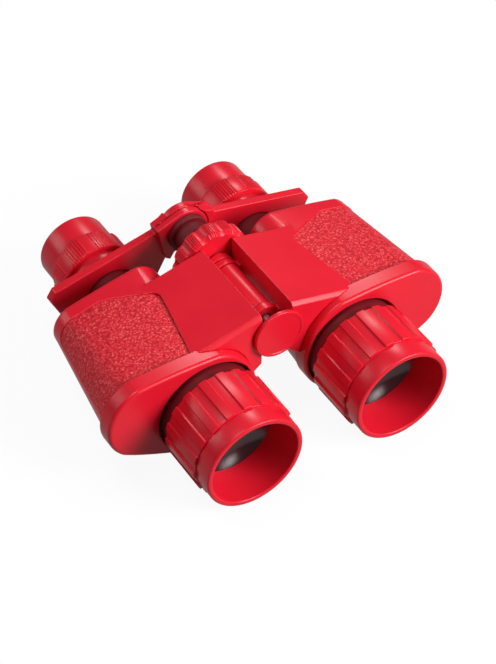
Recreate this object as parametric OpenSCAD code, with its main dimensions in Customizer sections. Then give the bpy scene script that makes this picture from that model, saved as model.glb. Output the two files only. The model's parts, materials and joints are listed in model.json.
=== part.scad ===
// Toy binoculars: two hinged housings with straight tubes, a centre focus wheel and a sliding bridge.
// Each half is drawn in its own frame. The hinge axis is the origin, x runs outward, y runs from
// the front rim of the objectives to the eyecups, and z runs up from the level top plate's side.
// half() folds it down about the hinge, mirrors it for the other hand and sets it on the floor.
// Right and left are the user's, looking through the eyecups: right is -X and left is +X.

/* [Frame and hinge] */
// Angle by which each half is folded down from level at rest
fold = 12.3; // [8:0.1:15]
// Outward distance from the hinge axis to a tube's axis
tube_out = 33.6; // [32.5:0.1:37]
// Distance of a tube's axis below the hinge axis
tube_drop = 11.3; // [10.5:0.1:12.5]
// Radius of the hinge pin
pin_r = 2.2; // [1.5:0.1:3]
// Radius of the middle hinge tube
hinge_tube_r = 5.1; // [4.2:0.1:5.2]
// Radius of the hinge knuckles at both ends of the tube
knuckle_r = 5.5; // [5.2:0.1:5.7]
// Length of each hinge knuckle
knuckle_len = 2.8; // [2:0.1:4]
// Distance from the web's front to the front knuckle
knuckle_set = 7.5; // [5:0.1:9]
// Radius of the round cap on the front of the hinge
cap_r = 9.9; // [8:0.1:11]
// Thickness of the hinge cap
cap_t = 1.6; // [1.2:0.1:2.4]

/* [Housing] */
// Length of the housing from its front cover to its rear face
housing_len = 47.6; // [44:0.1:52]
// Height of the top plate above the hinge axis
plate_z = 11.3; // [10.6:0.1:11.6]
// Distance from the top plate's rear edge to the housing's rear face
plate_set = 10.2; // [9.4:0.1:12]
// Wall thickness of the moulded shell
wall = 1.8; // [1.5:0.1:2.2]
// Half width of the channel that the hinge lies in
channel_half = 6.1; // [5.9:0.1:6.6]
// Lean of the channel walls, which makes them upright at rest
wall_lean = 12.3; // [8:0.1:15]
// Depth of the web's inner wall below the hinge axis
web_drop = 11; // [8:0.1:12]
// How far the housing's front lies outside the objective barrel
shell_gap = 1.9; // [1.8:0.1:2.4]
// How far the rounded top of the front outline lies above the tube's axis
crown_up = 2.6; // [1.6:0.1:3.4]
// Outward place of the front outline's lower outer corner
heel_out = 43.3; // [41:0.1:46]
// Height of the lower outer corner's centre, from the hinge axis
heel_z = -14.4; // [-16:0.1:-12]
// Radius of the lower outer corner at the housing's front
heel_r = 12.4; // [11:0.1:13]
// Outward place of the outer lobe's centre
lobe_out = 54.6; // [52:0.1:58]
// Height of the outer lobe's centre, from the hinge axis
lobe_z = -0.5; // [-2:0.1:1]
// Radius of the outer lobe at the housing's front
lobe_r = 15.1; // [14:0.1:16]
// Outward place of the housing's inner side at the rear
rear_in = 19.5; // [19.2:0.1:21]
// Outward place of the housing's outer side at the rear
rear_out = 63.4; // [62:0.1:66]
// Corner radius of the rear outline
rear_corner_r = 10; // [8.5:0.1:11]
// Radius of the rear outline's belly
belly_r = 16.9; // [15.5:0.1:17.2]
// Rounding of the rear edge
rear_round = 1.5; // [0.8:0.1:2]

/* [Grip panel] */
// Depth of the recess that the panel lies in
recess = 0.9; // [0.7:0.05:1]
// How far the panel's face lies below the housing's surface
panel_sink = 0.3; // [0.2:0.05:0.45]
// Outward place of the panel's inner edge at the front
panel_front_in = 31.9; // [30:0.1:34]
// Outward place of the panel's inner edge at the rear
panel_rear_in = 25.8; // [24.5:0.1:27]
// Border between the panel's rear edge and the housing's rear face, at the inner corner
panel_border_in = 16.2; // [14:0.1:18]
// The same border at the outer side
panel_border_out = 6.3; // [5:0.1:8]
// Radius of the panel's inner rear corner
panel_corner_r = 4.6; // [3:0.1:6]
// Height of the grip panel's outer edge above the hinge axis
panel_edge = 4; // [2:0.1:6]

/* [Objective end] */
// Thickness of the front cover
cover_t = 6.4; // [5:0.1:7.5]
// How far the front cover stands out round the tube's part of the housing
cover_proud = 0.6; // [0.3:0.1:1]
// How far the front cover stands out round the outer lobe
lobe_proud = 1.6; // [0.6:0.1:2.2]
// Rounding of the front cover's edge
cover_round = 1.4; // [0.6:0.1:2]
// Outer radius of the objective barrel
barrel_r = 18.3; // [17.8:0.1:18.6]
// Wall of the objective barrel
barrel_wall = 1.05; // [0.9:0.05:1.2]
// Length of bare barrel between the ring and the front cover
neck_len = 4.4; // [3:0.1:6]
// Wall of the fluted ring
ring_wall = 1.9; // [1.5:0.1:2.6]
// Length of the fluted ring
ring_len = 19.1; // [15:0.1:22]
// Number of flutes round the ring
flutes = 18; // [12:1:30]
// Depth of a flute
flute_depth = 0.7; // [0.4:0.05:1]
// How far the bezel stands out past the barrel
bezel_step = 0.8; // [0.4:0.1:1.3]
// Length of the bezel
bezel_len = 7.7; // [6:0.1:9]
// Width of the bezel's rim
rim_w = 2; // [1.6:0.1:2.6]
// How much narrower the hood is at the lens than at its mouth
hood_taper = 1.2; // [0.8:0.1:1.9]
// Depth of the lens seat behind the front rim
hood_len = 15.2; // [13:0.1:17]
// Thickness of the objective lens at its edge
lens_edge_t = 3; // [2:0.1:4]
// Bulge of the objective lens
lens_bulge = 1.8; // [1:0.1:2.4]
// Width of the lens retainer
retainer_t = 3; // [2:0.1:4]

/* [Bridge and eyepieces] */
// Gap between the housing's rear face and the bridge arm
arm_gap = 13.6; // [13:0.1:16]
// Thickness of the bridge arm
arm_t = 3.6; // [3:0.1:4.4]
// Outward place of the arm's tip
arm_out = 56.5; // [52:0.1:60]
// Height of the arm's top edge, from the hinge axis
arm_top = 4.3; // [2.5:0.1:5]
// Distance of the arm's lower edge below the tube's axis
arm_low = 12.2; // [11.5:0.1:13]
// Height of the arm's shoulder beside the hub
shoulder_z = 7.2; // [5.5:0.1:8]
// Outward place of the shoulder's outer side
shoulder_out = 10.8; // [10:0.1:12]
// Radius of the hub's knuckles
hub_r = 9.1; // [8.2:0.1:10]
// Length of the hub, from the arm's rear face forward
hub_len = 6.2; // [5.4:0.1:7.5]
// Radius of the hub's nose in front of the knuckles
nose_r = 7.9; // [7:0.1:8.1]
// Radius of the nose's tip
nose_tip_r = 6.4; // [5.8:0.1:6.8]
// Outer radius of the hub's sleeve
sleeve_r = 5.5; // [5:0.1:6]
// Outer radius of the eyepiece tube
eye_tube_r = 10.2; // [9.6:0.1:10.4]
// Wall of the eyepiece tube
eye_tube_wall = 1.2; // [1:0.1:1.5]
// Length of the eyepiece tube in front of the arm
eye_tube_len = 26.8; // [25:0.1:28]
// Radius of the neck behind the arm
eye_neck_r = 12.5; // [12.1:0.1:12.8]
// Bare length of the neck between the arm and the ribbed ring
eye_neck_len = 5.8; // [5:0.1:8]
// Outer radius of the ribbed ring
dioptre_r = 14.9; // [14.5:0.1:15.5]
// Length of the ribbed ring
dioptre_len = 9.5; // [8:0.1:11]
// Number of rib groups round the ring
rib_groups = 8; // [6:1:10]
// Outer radius of the eyecup
cup_r = 13.6; // [13:0.1:14]
// Length of the eyecup
cup_len = 11.3; // [9:0.1:14]
// Inner radius of the eyecup's mouth
cup_mouth_r = 12.1; // [11.6:0.1:12.4]
// Outer radius of the ocular cell
cell_r = 9.95; // [9.6:0.05:10]
// Length of the ocular cell
cell_len = 12; // [10:0.1:13]

/* [Focus wheel] */
// Radius of the focus wheel
wheel_r = 14.5; // [13:0.1:15.4]
// Width of the focus wheel
wheel_w = 7; // [5:0.1:8]
// Gap between the top plate's rear edge and the wheel
wheel_gap = 0.5; // [0.4:0.1:1.2]
// Number of lobes round the wheel
lobes = 12; // [8:1:16]
// Radius of the spindle that turns with the wheel
spindle_r = 2.9; // [2.4:0.1:3.2]
// Travel of the bridge each way from rest
focus_travel = 4; // [2:0.1:4.2]

/* [Hidden] */
$fn = 64;
// Fineness of the rounded forms that are blended into the shells
form_fn = 32;
// How far a cut runs past the face that it opens
overrun = 1;
// Clearance between fixed round fits
snug = 0.05;
// Running clearance of shafts and slides
running = 0.05;
// Side clearance between parts that turn past each other
side_gap = 0.3;
// Depth of the flats that the binoculars rest on
rest_depth = 0.3;
// Thickness of the plain slices that the housing is drawn between
slice = 1;
// Steps in a quarter of a rounded edge
edge_steps = 4;

// Places along the tubes, counted from the front rim
y_ring = bezel_len;
y_neck = y_ring + ring_len;
y_cover = y_neck + neck_len;
y_housing = y_cover + cover_t;
y_rear = y_housing + housing_len;
y_arm = y_rear + arm_gap;
y_arm_rear = y_arm + arm_t;
y_dioptre = y_arm_rear + eye_neck_len;
y_cup = y_dioptre + dioptre_len;
y_end = y_cup + cup_len;
// The web starts in front of the cover's rear face, and its top edge there is bevelled
web_bevel = 1.5;
web_lead = 2.8;
y_web = y_housing - web_lead;
y_web_rear = y_rear - plate_set;
// The hinge pin's knuckles and the tube between them
y_cap = y_web - side_gap - cap_t;
y_front_knuckle = y_web + knuckle_set;
y_tube = y_front_knuckle + knuckle_len + side_gap;
y_bearing = y_web_rear - knuckle_len - side_gap;
y_rear_knuckle = y_bearing - side_gap - knuckle_len;
y_tube_end = y_rear_knuckle - side_gap;
pin_clear = side_gap;
y_spindle = y_bearing + pin_clear;
y_wheel = y_web_rear + wheel_gap;
y_wheel_rear = y_wheel + wheel_w;
y_hub = y_arm_rear - hub_len;
y_hub_split = y_hub + hub_len/2;
y_spindle_end = y_arm_rear - focus_travel - 2*side_gap;

// Radii that follow the objective barrel
shell_r = barrel_r + shell_gap;
ring_r = barrel_r + ring_wall;
bezel_r = barrel_r + bezel_step;
mouth_r = bezel_r - rim_w;
hood_end_r = mouth_r - hood_taper;

// Height of the hinge axis above the floor, so that the cover's flats rest on it
cover_r = shell_r + cover_proud;
hinge_z = tube_out*sin(fold) + tube_drop*cos(fold) + cover_r - rest_depth;
front_y = -y_end/2;

// Rear outline: two upper corners and a belly whose underside touches the floor
rear_top_z = plate_z - rear_corner_r;
belly_x = rear_in + belly_r;
belly_z = (belly_x*sin(fold) + belly_r - rest_depth - hinge_z)/cos(fold);

// The hub's stepped nose in front of the knuckles, clear of the wheel when the bridge is drawn in
nose_len = 2.4;
nose_clear = 2;
y_nose = y_hub - nose_len;
y_nose_tip = y_wheel_rear + focus_travel + nose_clear;
hub_cap_lip = 0.5;
hub_cap_t = 1;
hub_cap_r = sleeve_r + hub_cap_lip;

// Fits inside the objective and the eyepiece
barrel_in = barrel_r - barrel_wall;
spigot_r = barrel_in - snug;
retainer_lip = 0.95;
retainer_in = hood_end_r - retainer_lip;
lens_rest_share = 0.98;
eye_sleeve_in = cell_r + running;
cup_shelf = 1.7;
eye_sleeve_end = y_cup - cup_shelf;
cup_bore = cell_r + side_gap;
cup_bore_len = 4.6;
cup_round = 0.8;
eye_tube_in = eye_tube_r - eye_tube_wall;
y_cell = y_arm_rear + eye_neck_len + side_gap;
cell_wall = 1.6;
eye_lens_t = 2.2;
eye_lens_hollow = 0.9;
eye_lens_seat = 3.2;
eye_lens_r = cell_r - cell_wall/2;
guide_wall = 1.6;
guide_len = 10;
boss_wall = 1.7;
boss_len = 4.5;
rib_half_h = 3;
flute_share = 0.48;
rib_share = 0.62;
ribs_in_group = 6;
rib_depth = 0.3;
rib_w = 0.45;
arm_chamfer = 3;
panel_ahead = 20;
scallop_r = 3.4;
scallop_depth = 0.9;
wheel_edge = 1.3;
wheel_rib_w = 0.5;
wheel_rib_depth = 0.3;
wheel_ribs = 5;
wheel_rib_share = 0.5;

red = "#de1f34";
dark_red = "#96191e";
grain_red = "#d43a44";
steel = "#b9bcc0";
glass = "#2a0a10";

// Outward place of the leaning channel wall at a height z
function wall_x(z) = (channel_half - z*sin(wall_lean))/cos(wall_lean);

// Circles that the front outline is drawn round: centre x and z, radius, and how far the cover stands out
function front_circles() = [
    [tube_out, -tube_drop, shell_r, cover_proud],
    [tube_out, crown_up - tube_drop, plate_z + tube_drop - crown_up, cover_proud],
    [heel_out, heel_z, heel_r, cover_proud],
    [lobe_out, lobe_z, lobe_r, lobe_proud]
];

// Circles that the rear outline is drawn round: centre x and z, and radius
function rear_circles() = [
    [rear_in + rear_corner_r, rear_top_z, rear_corner_r],
    [rear_out - rear_corner_r, rear_top_z, rear_corner_r],
    [belly_x, belly_z, belly_r]
];

// Points of a quarter round from one direction to the next
function quarter(cx, cy, r, a0, a1) =
    [for (i = [0 : edge_steps]) let (a = a0 + (a1 - a0)*i/edge_steps) [cx + r*cos(a), cy + r*sin(a)]];

// Points of a shallow dome of base radius r that rises by h, from the rim to the middle
function dome(r, y, h) =
    let (ball = (r*r + h*h)/(2*h), span = asin(r/ball))
    [for (i = [0 : edge_steps*2]) let (a = span*(1 - i/(edge_steps*2)))
        [ball*sin(a), y + ball*(cos(a) - cos(span))*sign(h)*sign(ball)]];

// Sets a half on the floor in its folded place, for side -1 (right) or 1 (left)
module half(side) {
    translate([0, front_y, hinge_z])
        mirror([side < 0 ? 1 : 0, 0, 0])
            rotate([0, fold, 0])
                children();
}

// Sets what lies on the hinge axis
module centre() {
    translate([0, front_y, hinge_z])
        children();
}

// Turns shapes drawn along z so that they run along the tube or along the hinge
module on_tube() {
    translate([tube_out, 0, -tube_drop])
        rotate([-90, 0, 0])
            children();
}

module on_hinge() {
    rotate([-90, 0, 0])
        children();
}

// Extrudes an outline drawn in x and z from y0 to y1
module along_y(y0, y1) {
    translate([0, y1, 0])
        rotate([90, 0, 0])
            linear_extrude(y1 - y0)
                children();
}

// A round disc with a rounded edge at its far end, its axis along y
module round_end_disc(x, z, r, y0, y1, edge) {
    translate([x, y0, z])
        rotate([-90, 0, 0])
            rotate_extrude($fn = form_fn)
                polygon(concat(
                    [[0, 0], [r, 0]],
                    quarter(r - edge, y1 - y0 - edge, edge, 0, 90),
                    [[0, y1 - y0]]
                ));
}

// A round disc with a rounded edge at its near end
module round_front_disc(x, z, r, y0, y1, edge) {
    translate([x, y1, z])
        rotate([90, 0, 0])
            rotate_extrude($fn = form_fn)
                polygon(concat(
                    [[0, 0], [r, 0]],
                    quarter(r - edge, y1 - y0 - edge, edge, 0, 90),
                    [[0, y1 - y0]]
                ));
}

// The housing's outer form, or a smaller one inside it when grow is negative
module housing_form(grow, y0, y1) {
    hull() {
        for (c = front_circles())
            round_end_disc(c[0], c[1], c[2] + grow, y0, y_housing + slice, slice/2);
        for (c = rear_circles())
            round_end_disc(c[0], c[1], c[2] + grow, y1 - 2*slice, y1, rear_round);
    }
}

// The front cover's outer form
module cover_form(grow, y0, y1, edge) {
    hull() {
        for (c = front_circles())
            round_front_disc(c[0], c[1], c[2] + c[3] + grow, y0, y1, edge);
    }
}

// Outline of the web between the housing and the hinge
module web_outline() {
    polygon([
        [wall_x(plate_z), plate_z],
        [tube_out, plate_z],
        [tube_out, -tube_drop],
        [wall_x(-web_drop) + web_drop, -web_drop - tube_drop/2],
        [wall_x(-web_drop), -web_drop]
    ]);
}

// The web: a hollow box that carries the top plate and the hinge
module web_solid() {
    difference() {
        along_y(y_web, y_web_rear)
            web_outline();
        translate([0, y_web, plate_z - web_bevel])
            rotate([45, 0, 0])
                translate([-tube_out, -2*web_bevel, 0])
                    cube([3*tube_out, 2*web_bevel, 3*web_bevel]);
    }
}

module web_hollow() {
    along_y(y_web + wall, y_web_rear - wall)
        offset(delta = -wall)
            web_outline();
}

// The space under the floor, cut away so that the underside has flats to rest on
module below_floor() {
    rotate([0, -fold, 0])
        translate([-2*tube_out, -overrun, -hinge_z - 2*cover_r])
            cube([6*tube_out, y_end + 2*overrun, 2*cover_r]);
}

// Plan of the grip panel, drawn in x and y
module panel_plan(inset) {
    slope = (panel_front_in - panel_rear_in)/(housing_len - panel_border_in);
    offset(r = panel_corner_r)
        offset(delta = -panel_corner_r - inset)
            polygon([
                [panel_front_in, y_housing],
                [panel_rear_in, y_rear - panel_border_in],
                [(panel_rear_in + rear_out)/2, y_rear - panel_border_out],
                [2*rear_out, y_rear - panel_border_out],
                [2*rear_out, y_housing - panel_ahead],
                [panel_front_in + slope*panel_ahead, y_housing - panel_ahead]
            ]);
}

module panel_prism(inset) {
    translate([0, 0, panel_edge + inset])
        linear_extrude(2*plate_z)
            panel_plan(inset);
}

// The hollow shell with its web, its guide for the eyepiece tube and its recess for the grip panel
module housing_shell() {
    difference() {
        union() {
            difference() {
                union() {
                    housing_form(0, y_housing, y_rear);
                    difference() {
                        web_solid();
                        cover_form(snug*2, y_cover - overrun, y_housing, cover_round);
                    }
                }
                housing_form(-wall, y_housing - overrun, y_rear - wall);
                difference() {
                    web_hollow();
                    cover_form(wall, y_cover - overrun, y_housing, cover_round);
                }
            }
            on_tube()
                translate([0, 0, y_rear - guide_len])
                    cylinder(r = eye_tube_r + guide_wall, h = guide_len - wall/2);
        }
        on_tube()
            translate([0, 0, y_rear - guide_len - overrun])
                cylinder(r = eye_tube_r + running, h = guide_len + 2*overrun);
        difference() {
            panel_prism(0);
            housing_form(-recess, y_housing - overrun, y_rear);
        }
        below_floor();
    }
}

// A rib from the channel wall to a knuckle on the hinge axis
module knuckle_rib(y0, y1) {
    along_y(y0, y1)
        polygon([
            [0, -rib_half_h],
            [wall_x(-rib_half_h) + wall/2, -rib_half_h],
            [wall_x(rib_half_h) + wall/2, rib_half_h],
            [0, rib_half_h]
        ]);
}

module knuckle(y0, y1, bore) {
    difference() {
        union() {
            on_hinge()
                translate([0, 0, y0])
                    cylinder(r = knuckle_r, h = y1 - y0);
            knuckle_rib(y0, y1);
        }
        on_hinge()
            translate([0, 0, y0 - overrun])
                cylinder(r = bore, h = y1 - y0 + 2*overrun);
    }
}

// Right housing: carries the middle hinge tube in a saddle, and the bearing of the focus spindle
module right_housing() {
    color(red) {
        housing_shell();
        difference() {
            knuckle_rib(y_tube, y_tube_end);
            on_hinge()
                translate([0, 0, y_tube - overrun])
                    cylinder(r = hinge_tube_r + snug, h = y_tube_end - y_tube + 2*overrun);
        }
        knuckle(y_bearing, y_web_rear, spindle_r + running);
    }
}

// Left housing: carries the two knuckles that turn on the hinge pin
module left_housing() {
    color(red) {
        housing_shell();
        knuckle(y_front_knuckle, y_front_knuckle + knuckle_len, pin_r + running);
        knuckle(y_rear_knuckle, y_rear_knuckle + knuckle_len, pin_r + running);
    }
}

// Front cover: a hollow lid with a boss that holds the objective barrel
module front_cover() {
    color(red)
        difference() {
            union() {
                difference() {
                    cover_form(0, y_cover, y_housing, cover_round);
                    cover_form(-wall - cover_proud, y_cover + wall, y_housing + overrun, cover_round);
                }
                on_tube()
                    translate([0, 0, y_cover + wall/2])
                        cylinder(r = barrel_r + boss_wall, h = boss_len + wall/2);
            }
            on_tube()
                translate([0, 0, y_cover - overrun])
                    cylinder(r = barrel_r + snug, h = cover_t + 2*overrun);
            below_floor();
        }
}

// Grip panel: a thin grained skin in the housing's recess
module grip_panel() {
    color(grain_red)
        difference() {
            intersection() {
                panel_prism(2*snug);
                housing_form(-panel_sink, y_housing, y_rear);
            }
            housing_form(-recess, y_housing - overrun, y_rear);
        }
}

// Objective barrel: the tube that holds the lens and carries the ring
module objective_barrel() {
    color(red)
        on_tube()
            translate([0, 0, y_ring])
                difference() {
                    cylinder(r = barrel_r, h = y_housing - y_ring);
                    translate([0, 0, -overrun])
                        cylinder(r = barrel_in, h = y_housing - y_ring + 2*overrun);
                }
}

// Fluted ring round the barrel
module objective_ring() {
    flute_w = 2*PI*ring_r/flutes*flute_share;
    color(red)
        on_tube()
            translate([0, 0, y_ring])
                linear_extrude(ring_len)
                    difference() {
                        circle(r = ring_r);
                        circle(r = barrel_r + snug);
                        for (i = [0 : flutes - 1])
                            rotate(i*360/flutes)
                                translate([ring_r - flute_depth, -flute_w/2])
                                    square([2*flute_depth, flute_w]);
                    }
}

// Bezel: the front rim with its hood, whose end holds the lens
module objective_bezel() {
    lip = cover_round/2;
    color(red)
        on_tube()
            rotate_extrude()
                polygon(concat(
                    [[mouth_r, lip], [mouth_r + lip, 0]],
                    quarter(bezel_r - lip, lip, lip, -90, 0),
                    [[bezel_r, bezel_len], [spigot_r, bezel_len]],
                    [[spigot_r, hood_len], [hood_end_r, hood_len]]
                ));
}

// Objective lens: bulges towards the front
module objective_lens() {
    color(glass)
        on_tube()
            translate([0, 0, hood_len])
                rotate_extrude()
                    polygon(concat(
                        [[0, lens_edge_t], [spigot_r, lens_edge_t], [spigot_r, 0]],
                        [for (p = dome(hood_end_r*lens_rest_share, 0, lens_bulge)) [p[0], -p[1]]]
                    ));
}

// Lens retainer: a plain ring behind the lens
module lens_retainer() {
    color(dark_red)
        on_tube()
            translate([0, 0, hood_len + lens_edge_t])
                difference() {
                    cylinder(r = spigot_r, h = retainer_t);
                    translate([0, 0, -overrun])
                        cylinder(r = retainer_in, h = retainer_t + 2*overrun);
                }
}

// Outline of a bridge arm: a level bar from the hub past the eyepiece, with bevelled ends
module arm_outline() {
    polygon([
        [0, 0],
        [0, arm_top],
        [arm_out - arm_chamfer, arm_top],
        [arm_out, arm_top - arm_chamfer],
        [arm_out - arm_chamfer, -tube_drop],
        [arm_out - 3*arm_chamfer, -tube_drop - arm_low],
        [tube_out - arm_low, -tube_drop - arm_low],
        [hub_r, -hub_r]
    ]);
}

// Outline of the arm's root beside the hub
module root_outline() {
    polygon([
        [0, 0],
        [0, hub_r],
        [shoulder_out, shoulder_z],
        [shoulder_out, -shoulder_z],
        [hub_r, -hub_r]
    ]);
}

// Bridge arm whose hub knuckle fills the layer from y0 to y1
module bridge_arm(y0, y1, bore) {
    color(red)
        difference() {
            union() {
                difference() {
                    union() {
                        along_y(y_arm, y_arm_rear)
                            arm_outline();
                        along_y(y_hub, y_arm_rear)
                            root_outline();
                    }
                    on_hinge()
                        translate([0, 0, y_hub - overrun])
                            cylinder(r = hub_r + side_gap, h = hub_len + 2*overrun);
                }
                along_y(y0, y1)
                    root_outline();
                on_hinge()
                    translate([0, 0, y0])
                        cylinder(r = hub_r, h = y1 - y0);
            }
            on_hinge()
                translate([0, 0, y_hub - overrun])
                    cylinder(r = bore, h = hub_len + 2*overrun);
            on_tube()
                translate([0, 0, y_arm - overrun])
                    cylinder(r = eye_tube_r + snug, h = arm_t + 2*overrun);
        }
}

// Right arm: its knuckle is the front one, fixed on the hub's sleeve
module right_bridge_arm() {
    bridge_arm(y_hub, y_hub_split - side_gap/2, sleeve_r + snug);
}

// Left arm: its knuckle is the rear one, and turns on the hub's sleeve
module left_bridge_arm() {
    bridge_arm(y_hub_split + side_gap/2, y_arm_rear, sleeve_r + running);
}

// Eyepiece tube: slides in the housing's guide, and its neck behind the arm carries the ribbed ring
module eyepiece_tube() {
    shelf = y_arm_rear + wall;
    color(dark_red)
        on_tube()
            rotate_extrude()
                polygon([
                    [eye_tube_in, y_arm - eye_tube_len],
                    [eye_tube_r, y_arm - eye_tube_len],
                    [eye_tube_r, y_arm_rear],
                    [eye_neck_r, y_arm_rear],
                    [eye_neck_r, eye_sleeve_end],
                    [eye_sleeve_in, eye_sleeve_end],
                    [eye_sleeve_in, shelf],
                    [eye_tube_in, shelf]
                ]);
}

// Ocular cell: slides in the neck when the ribbed ring is turned, and holds the eye lens
module ocular_cell() {
    seat = y_cell + cell_len - eye_lens_seat;
    color(dark_red)
        on_tube()
            rotate_extrude()
                polygon([
                    [cell_r - cell_wall, y_cell],
                    [cell_r, y_cell],
                    [cell_r, y_cell + cell_len],
                    [eye_lens_r + snug, y_cell + cell_len],
                    [eye_lens_r + snug, seat],
                    [cell_r - cell_wall, seat]
                ]);
}

// Eye lens: hollow towards the eye
module ocular_lens() {
    seat = y_cell + cell_len - eye_lens_seat;
    hollow = dome(eye_lens_r*lens_rest_share, 0, eye_lens_hollow);
    color(glass)
        on_tube()
            translate([0, 0, seat])
                rotate_extrude()
                    polygon(concat(
                        [[0, 0], [eye_lens_r, 0], [eye_lens_r, eye_lens_t]],
                        [for (p = hollow) [p[0], eye_lens_t - p[1]]]
                    ));
}

// Ribbed ring: turns on the neck, with groups of fine ribs for the fingers
module dioptre_ring() {
    neck_end = eye_sleeve_end + side_gap;
    span = 360/rib_groups*rib_share;
    color(red)
        on_tube()
            difference() {
                translate([0, 0, y_dioptre])
                    linear_extrude(dioptre_len)
                        ribbed_round(dioptre_r, rib_groups, ribs_in_group, span, rib_w, rib_depth);
                translate([0, 0, y_dioptre - overrun])
                    cylinder(r = eye_neck_r + running, h = neck_end - y_dioptre + overrun);
                translate([0, 0, y_dioptre - overrun])
                    cylinder(r = cup_bore, h = dioptre_len + 2*overrun);
            }
}

// A circle with groups of fine grooves round its edge
module ribbed_round(r, groups, count, span, groove_w, depth) {
    difference() {
        circle(r = r);
        for (g = [0 : groups - 1])
            for (i = [0 : count - 1])
                rotate(g*360/groups + span*(i/(count - 1) - 1/2))
                    translate([r - depth, -groove_w/2])
                        square([2*depth, groove_w]);
    }
}

// Eyecup: fixed to the ribbed ring, with a funnel towards the eye
module eyecup() {
    color(red)
        on_tube()
            rotate_extrude()
                polygon(concat(
                    [[cup_bore, y_cup], [cup_r, y_cup]],
                    quarter(cup_r - cup_round, y_end - cup_round, cup_round, 0, 90),
                    [[cup_mouth_r, y_end], [cup_bore, y_cup + cup_bore_len]]
                ));
}

// Hinge tube: the middle of the hinge, fixed in the right housing's saddle
module hinge_tube() {
    color(red)
        on_hinge()
            translate([0, 0, y_tube])
                difference() {
                    cylinder(r = hinge_tube_r, h = y_tube_end - y_tube);
                    translate([0, 0, -overrun])
                        cylinder(r = pin_r + snug, h = y_tube_end - y_tube + 2*overrun);
                }
}

// Hinge pin: runs from the cap through both knuckles and the tube
module hinge_pin() {
    color(steel)
        on_hinge()
            translate([0, 0, y_cap + cap_t/2])
                cylinder(r = pin_r, h = y_bearing - pin_clear - y_cap - cap_t/2);
}

// Hinge cap: the plain round disc on the front of the hinge
module hinge_cap() {
    color(red)
        on_hinge()
            difference() {
                translate([0, 0, y_cap])
                    cylinder(r = cap_r, h = cap_t);
                translate([0, 0, y_cap + cap_t/2])
                    cylinder(r = pin_r + snug, h = cap_t);
            }
}

// Focus wheel: scalloped rim with ribs on each lobe
module focus_wheel() {
    lobe_angle = 360/lobes;
    color(red)
        on_hinge()
            difference() {
                union() {
                    translate([0, 0, y_wheel])
                        cylinder(r1 = wheel_r - wheel_edge, r2 = wheel_r, h = wheel_edge);
                    translate([0, 0, y_wheel + wheel_edge])
                        linear_extrude(wheel_w - wheel_edge)
                            ribbed_round(
                                wheel_r, lobes, wheel_ribs, lobe_angle*wheel_rib_share,
                                wheel_rib_w, wheel_rib_depth
                            );
                }
                for (i = [0 : lobes - 1])
                    rotate((i + 1/2)*lobe_angle)
                        translate([wheel_r + scallop_r - scallop_depth, 0, y_wheel - overrun])
                            cylinder(r = scallop_r, h = wheel_w + 2*overrun);
                translate([0, 0, y_wheel - overrun])
                    cylinder(r = spindle_r + snug, h = wheel_w + 2*overrun);
            }
}

// Focus spindle: turns with the wheel and drives the bridge along the hinge axis
module focus_spindle() {
    color(steel)
        on_hinge()
            translate([0, 0, y_spindle])
                cylinder(r = spindle_r, h = y_spindle_end - y_spindle);
}

// Bridge hub: the sleeve with a stepped nose that both arms sit on
module bridge_hub() {
    color(dark_red)
        on_hinge()
            difference() {
                union() {
                    translate([0, 0, y_nose_tip])
                        cylinder(r = nose_tip_r, h = y_nose - y_nose_tip);
                    translate([0, 0, y_nose])
                        cylinder(r = nose_r, h = nose_len);
                    translate([0, 0, y_hub])
                        cylinder(r = sleeve_r, h = hub_len + side_gap);
                }
                translate([0, 0, y_nose_tip - overrun])
                    cylinder(r = spindle_r + running, h = y_arm_rear + side_gap - y_nose_tip + 2*overrun);
            }
}

// Hub cap: closes the sleeve behind the arms
module hub_cap() {
    color(red)
        on_hinge()
            translate([0, 0, y_arm_rear + side_gap])
                cylinder(r1 = hub_cap_r, r2 = hub_cap_r - hub_cap_t/2, h = hub_cap_t);
}

half(-1) right_housing();
half(-1) front_cover();  // right_front_cover
half(-1) grip_panel();  // right_grip_panel
half(-1) objective_barrel();  // right_objective_barrel
half(-1) objective_ring();  // right_objective_ring
half(-1) objective_bezel();  // right_objective_bezel
half(-1) objective_lens();  // right_objective_lens
half(-1) lens_retainer();  // right_lens_retainer
half(-1) right_bridge_arm();
half(-1) eyepiece_tube();  // right_eyepiece_tube
half(-1) ocular_cell();  // right_ocular_cell
half(-1) ocular_lens();  // right_ocular_lens
half(-1) dioptre_ring();  // right_dioptre_ring
half(-1) eyecup();  // right_eyecup
half(1) left_housing();
half(1) front_cover();  // left_front_cover
half(1) grip_panel();  // left_grip_panel
half(1) objective_barrel();  // left_objective_barrel
half(1) objective_ring();  // left_objective_ring
half(1) objective_bezel();  // left_objective_bezel
half(1) objective_lens();  // left_objective_lens
half(1) lens_retainer();  // left_lens_retainer
half(1) left_bridge_arm();
half(1) eyepiece_tube();  // left_eyepiece_tube
half(1) ocular_cell();  // left_ocular_cell
half(1) ocular_lens();  // left_ocular_lens
half(1) dioptre_ring();  // left_dioptre_ring
half(1) eyecup();  // left_eyecup
centre() hinge_tube();
centre() hinge_pin();
centre() hinge_cap();
centre() focus_wheel();
centre() focus_spindle();
centre() bridge_hub();
centre() hub_cap();
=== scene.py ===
# %% [markdown]
# # Toy binoculars
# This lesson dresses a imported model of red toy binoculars. The frame gives every place; each piece that shows is
# modelled again here with smooth curves and soft edges, because a moulded toy has no sharp edge anywhere.

# %% Load the frame
import json
from math import asin, atan2, cos, hypot, pi, radians, sin, sqrt, tan, tau

import bmesh
import bpy
from mathutils import Matrix, Vector


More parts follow.
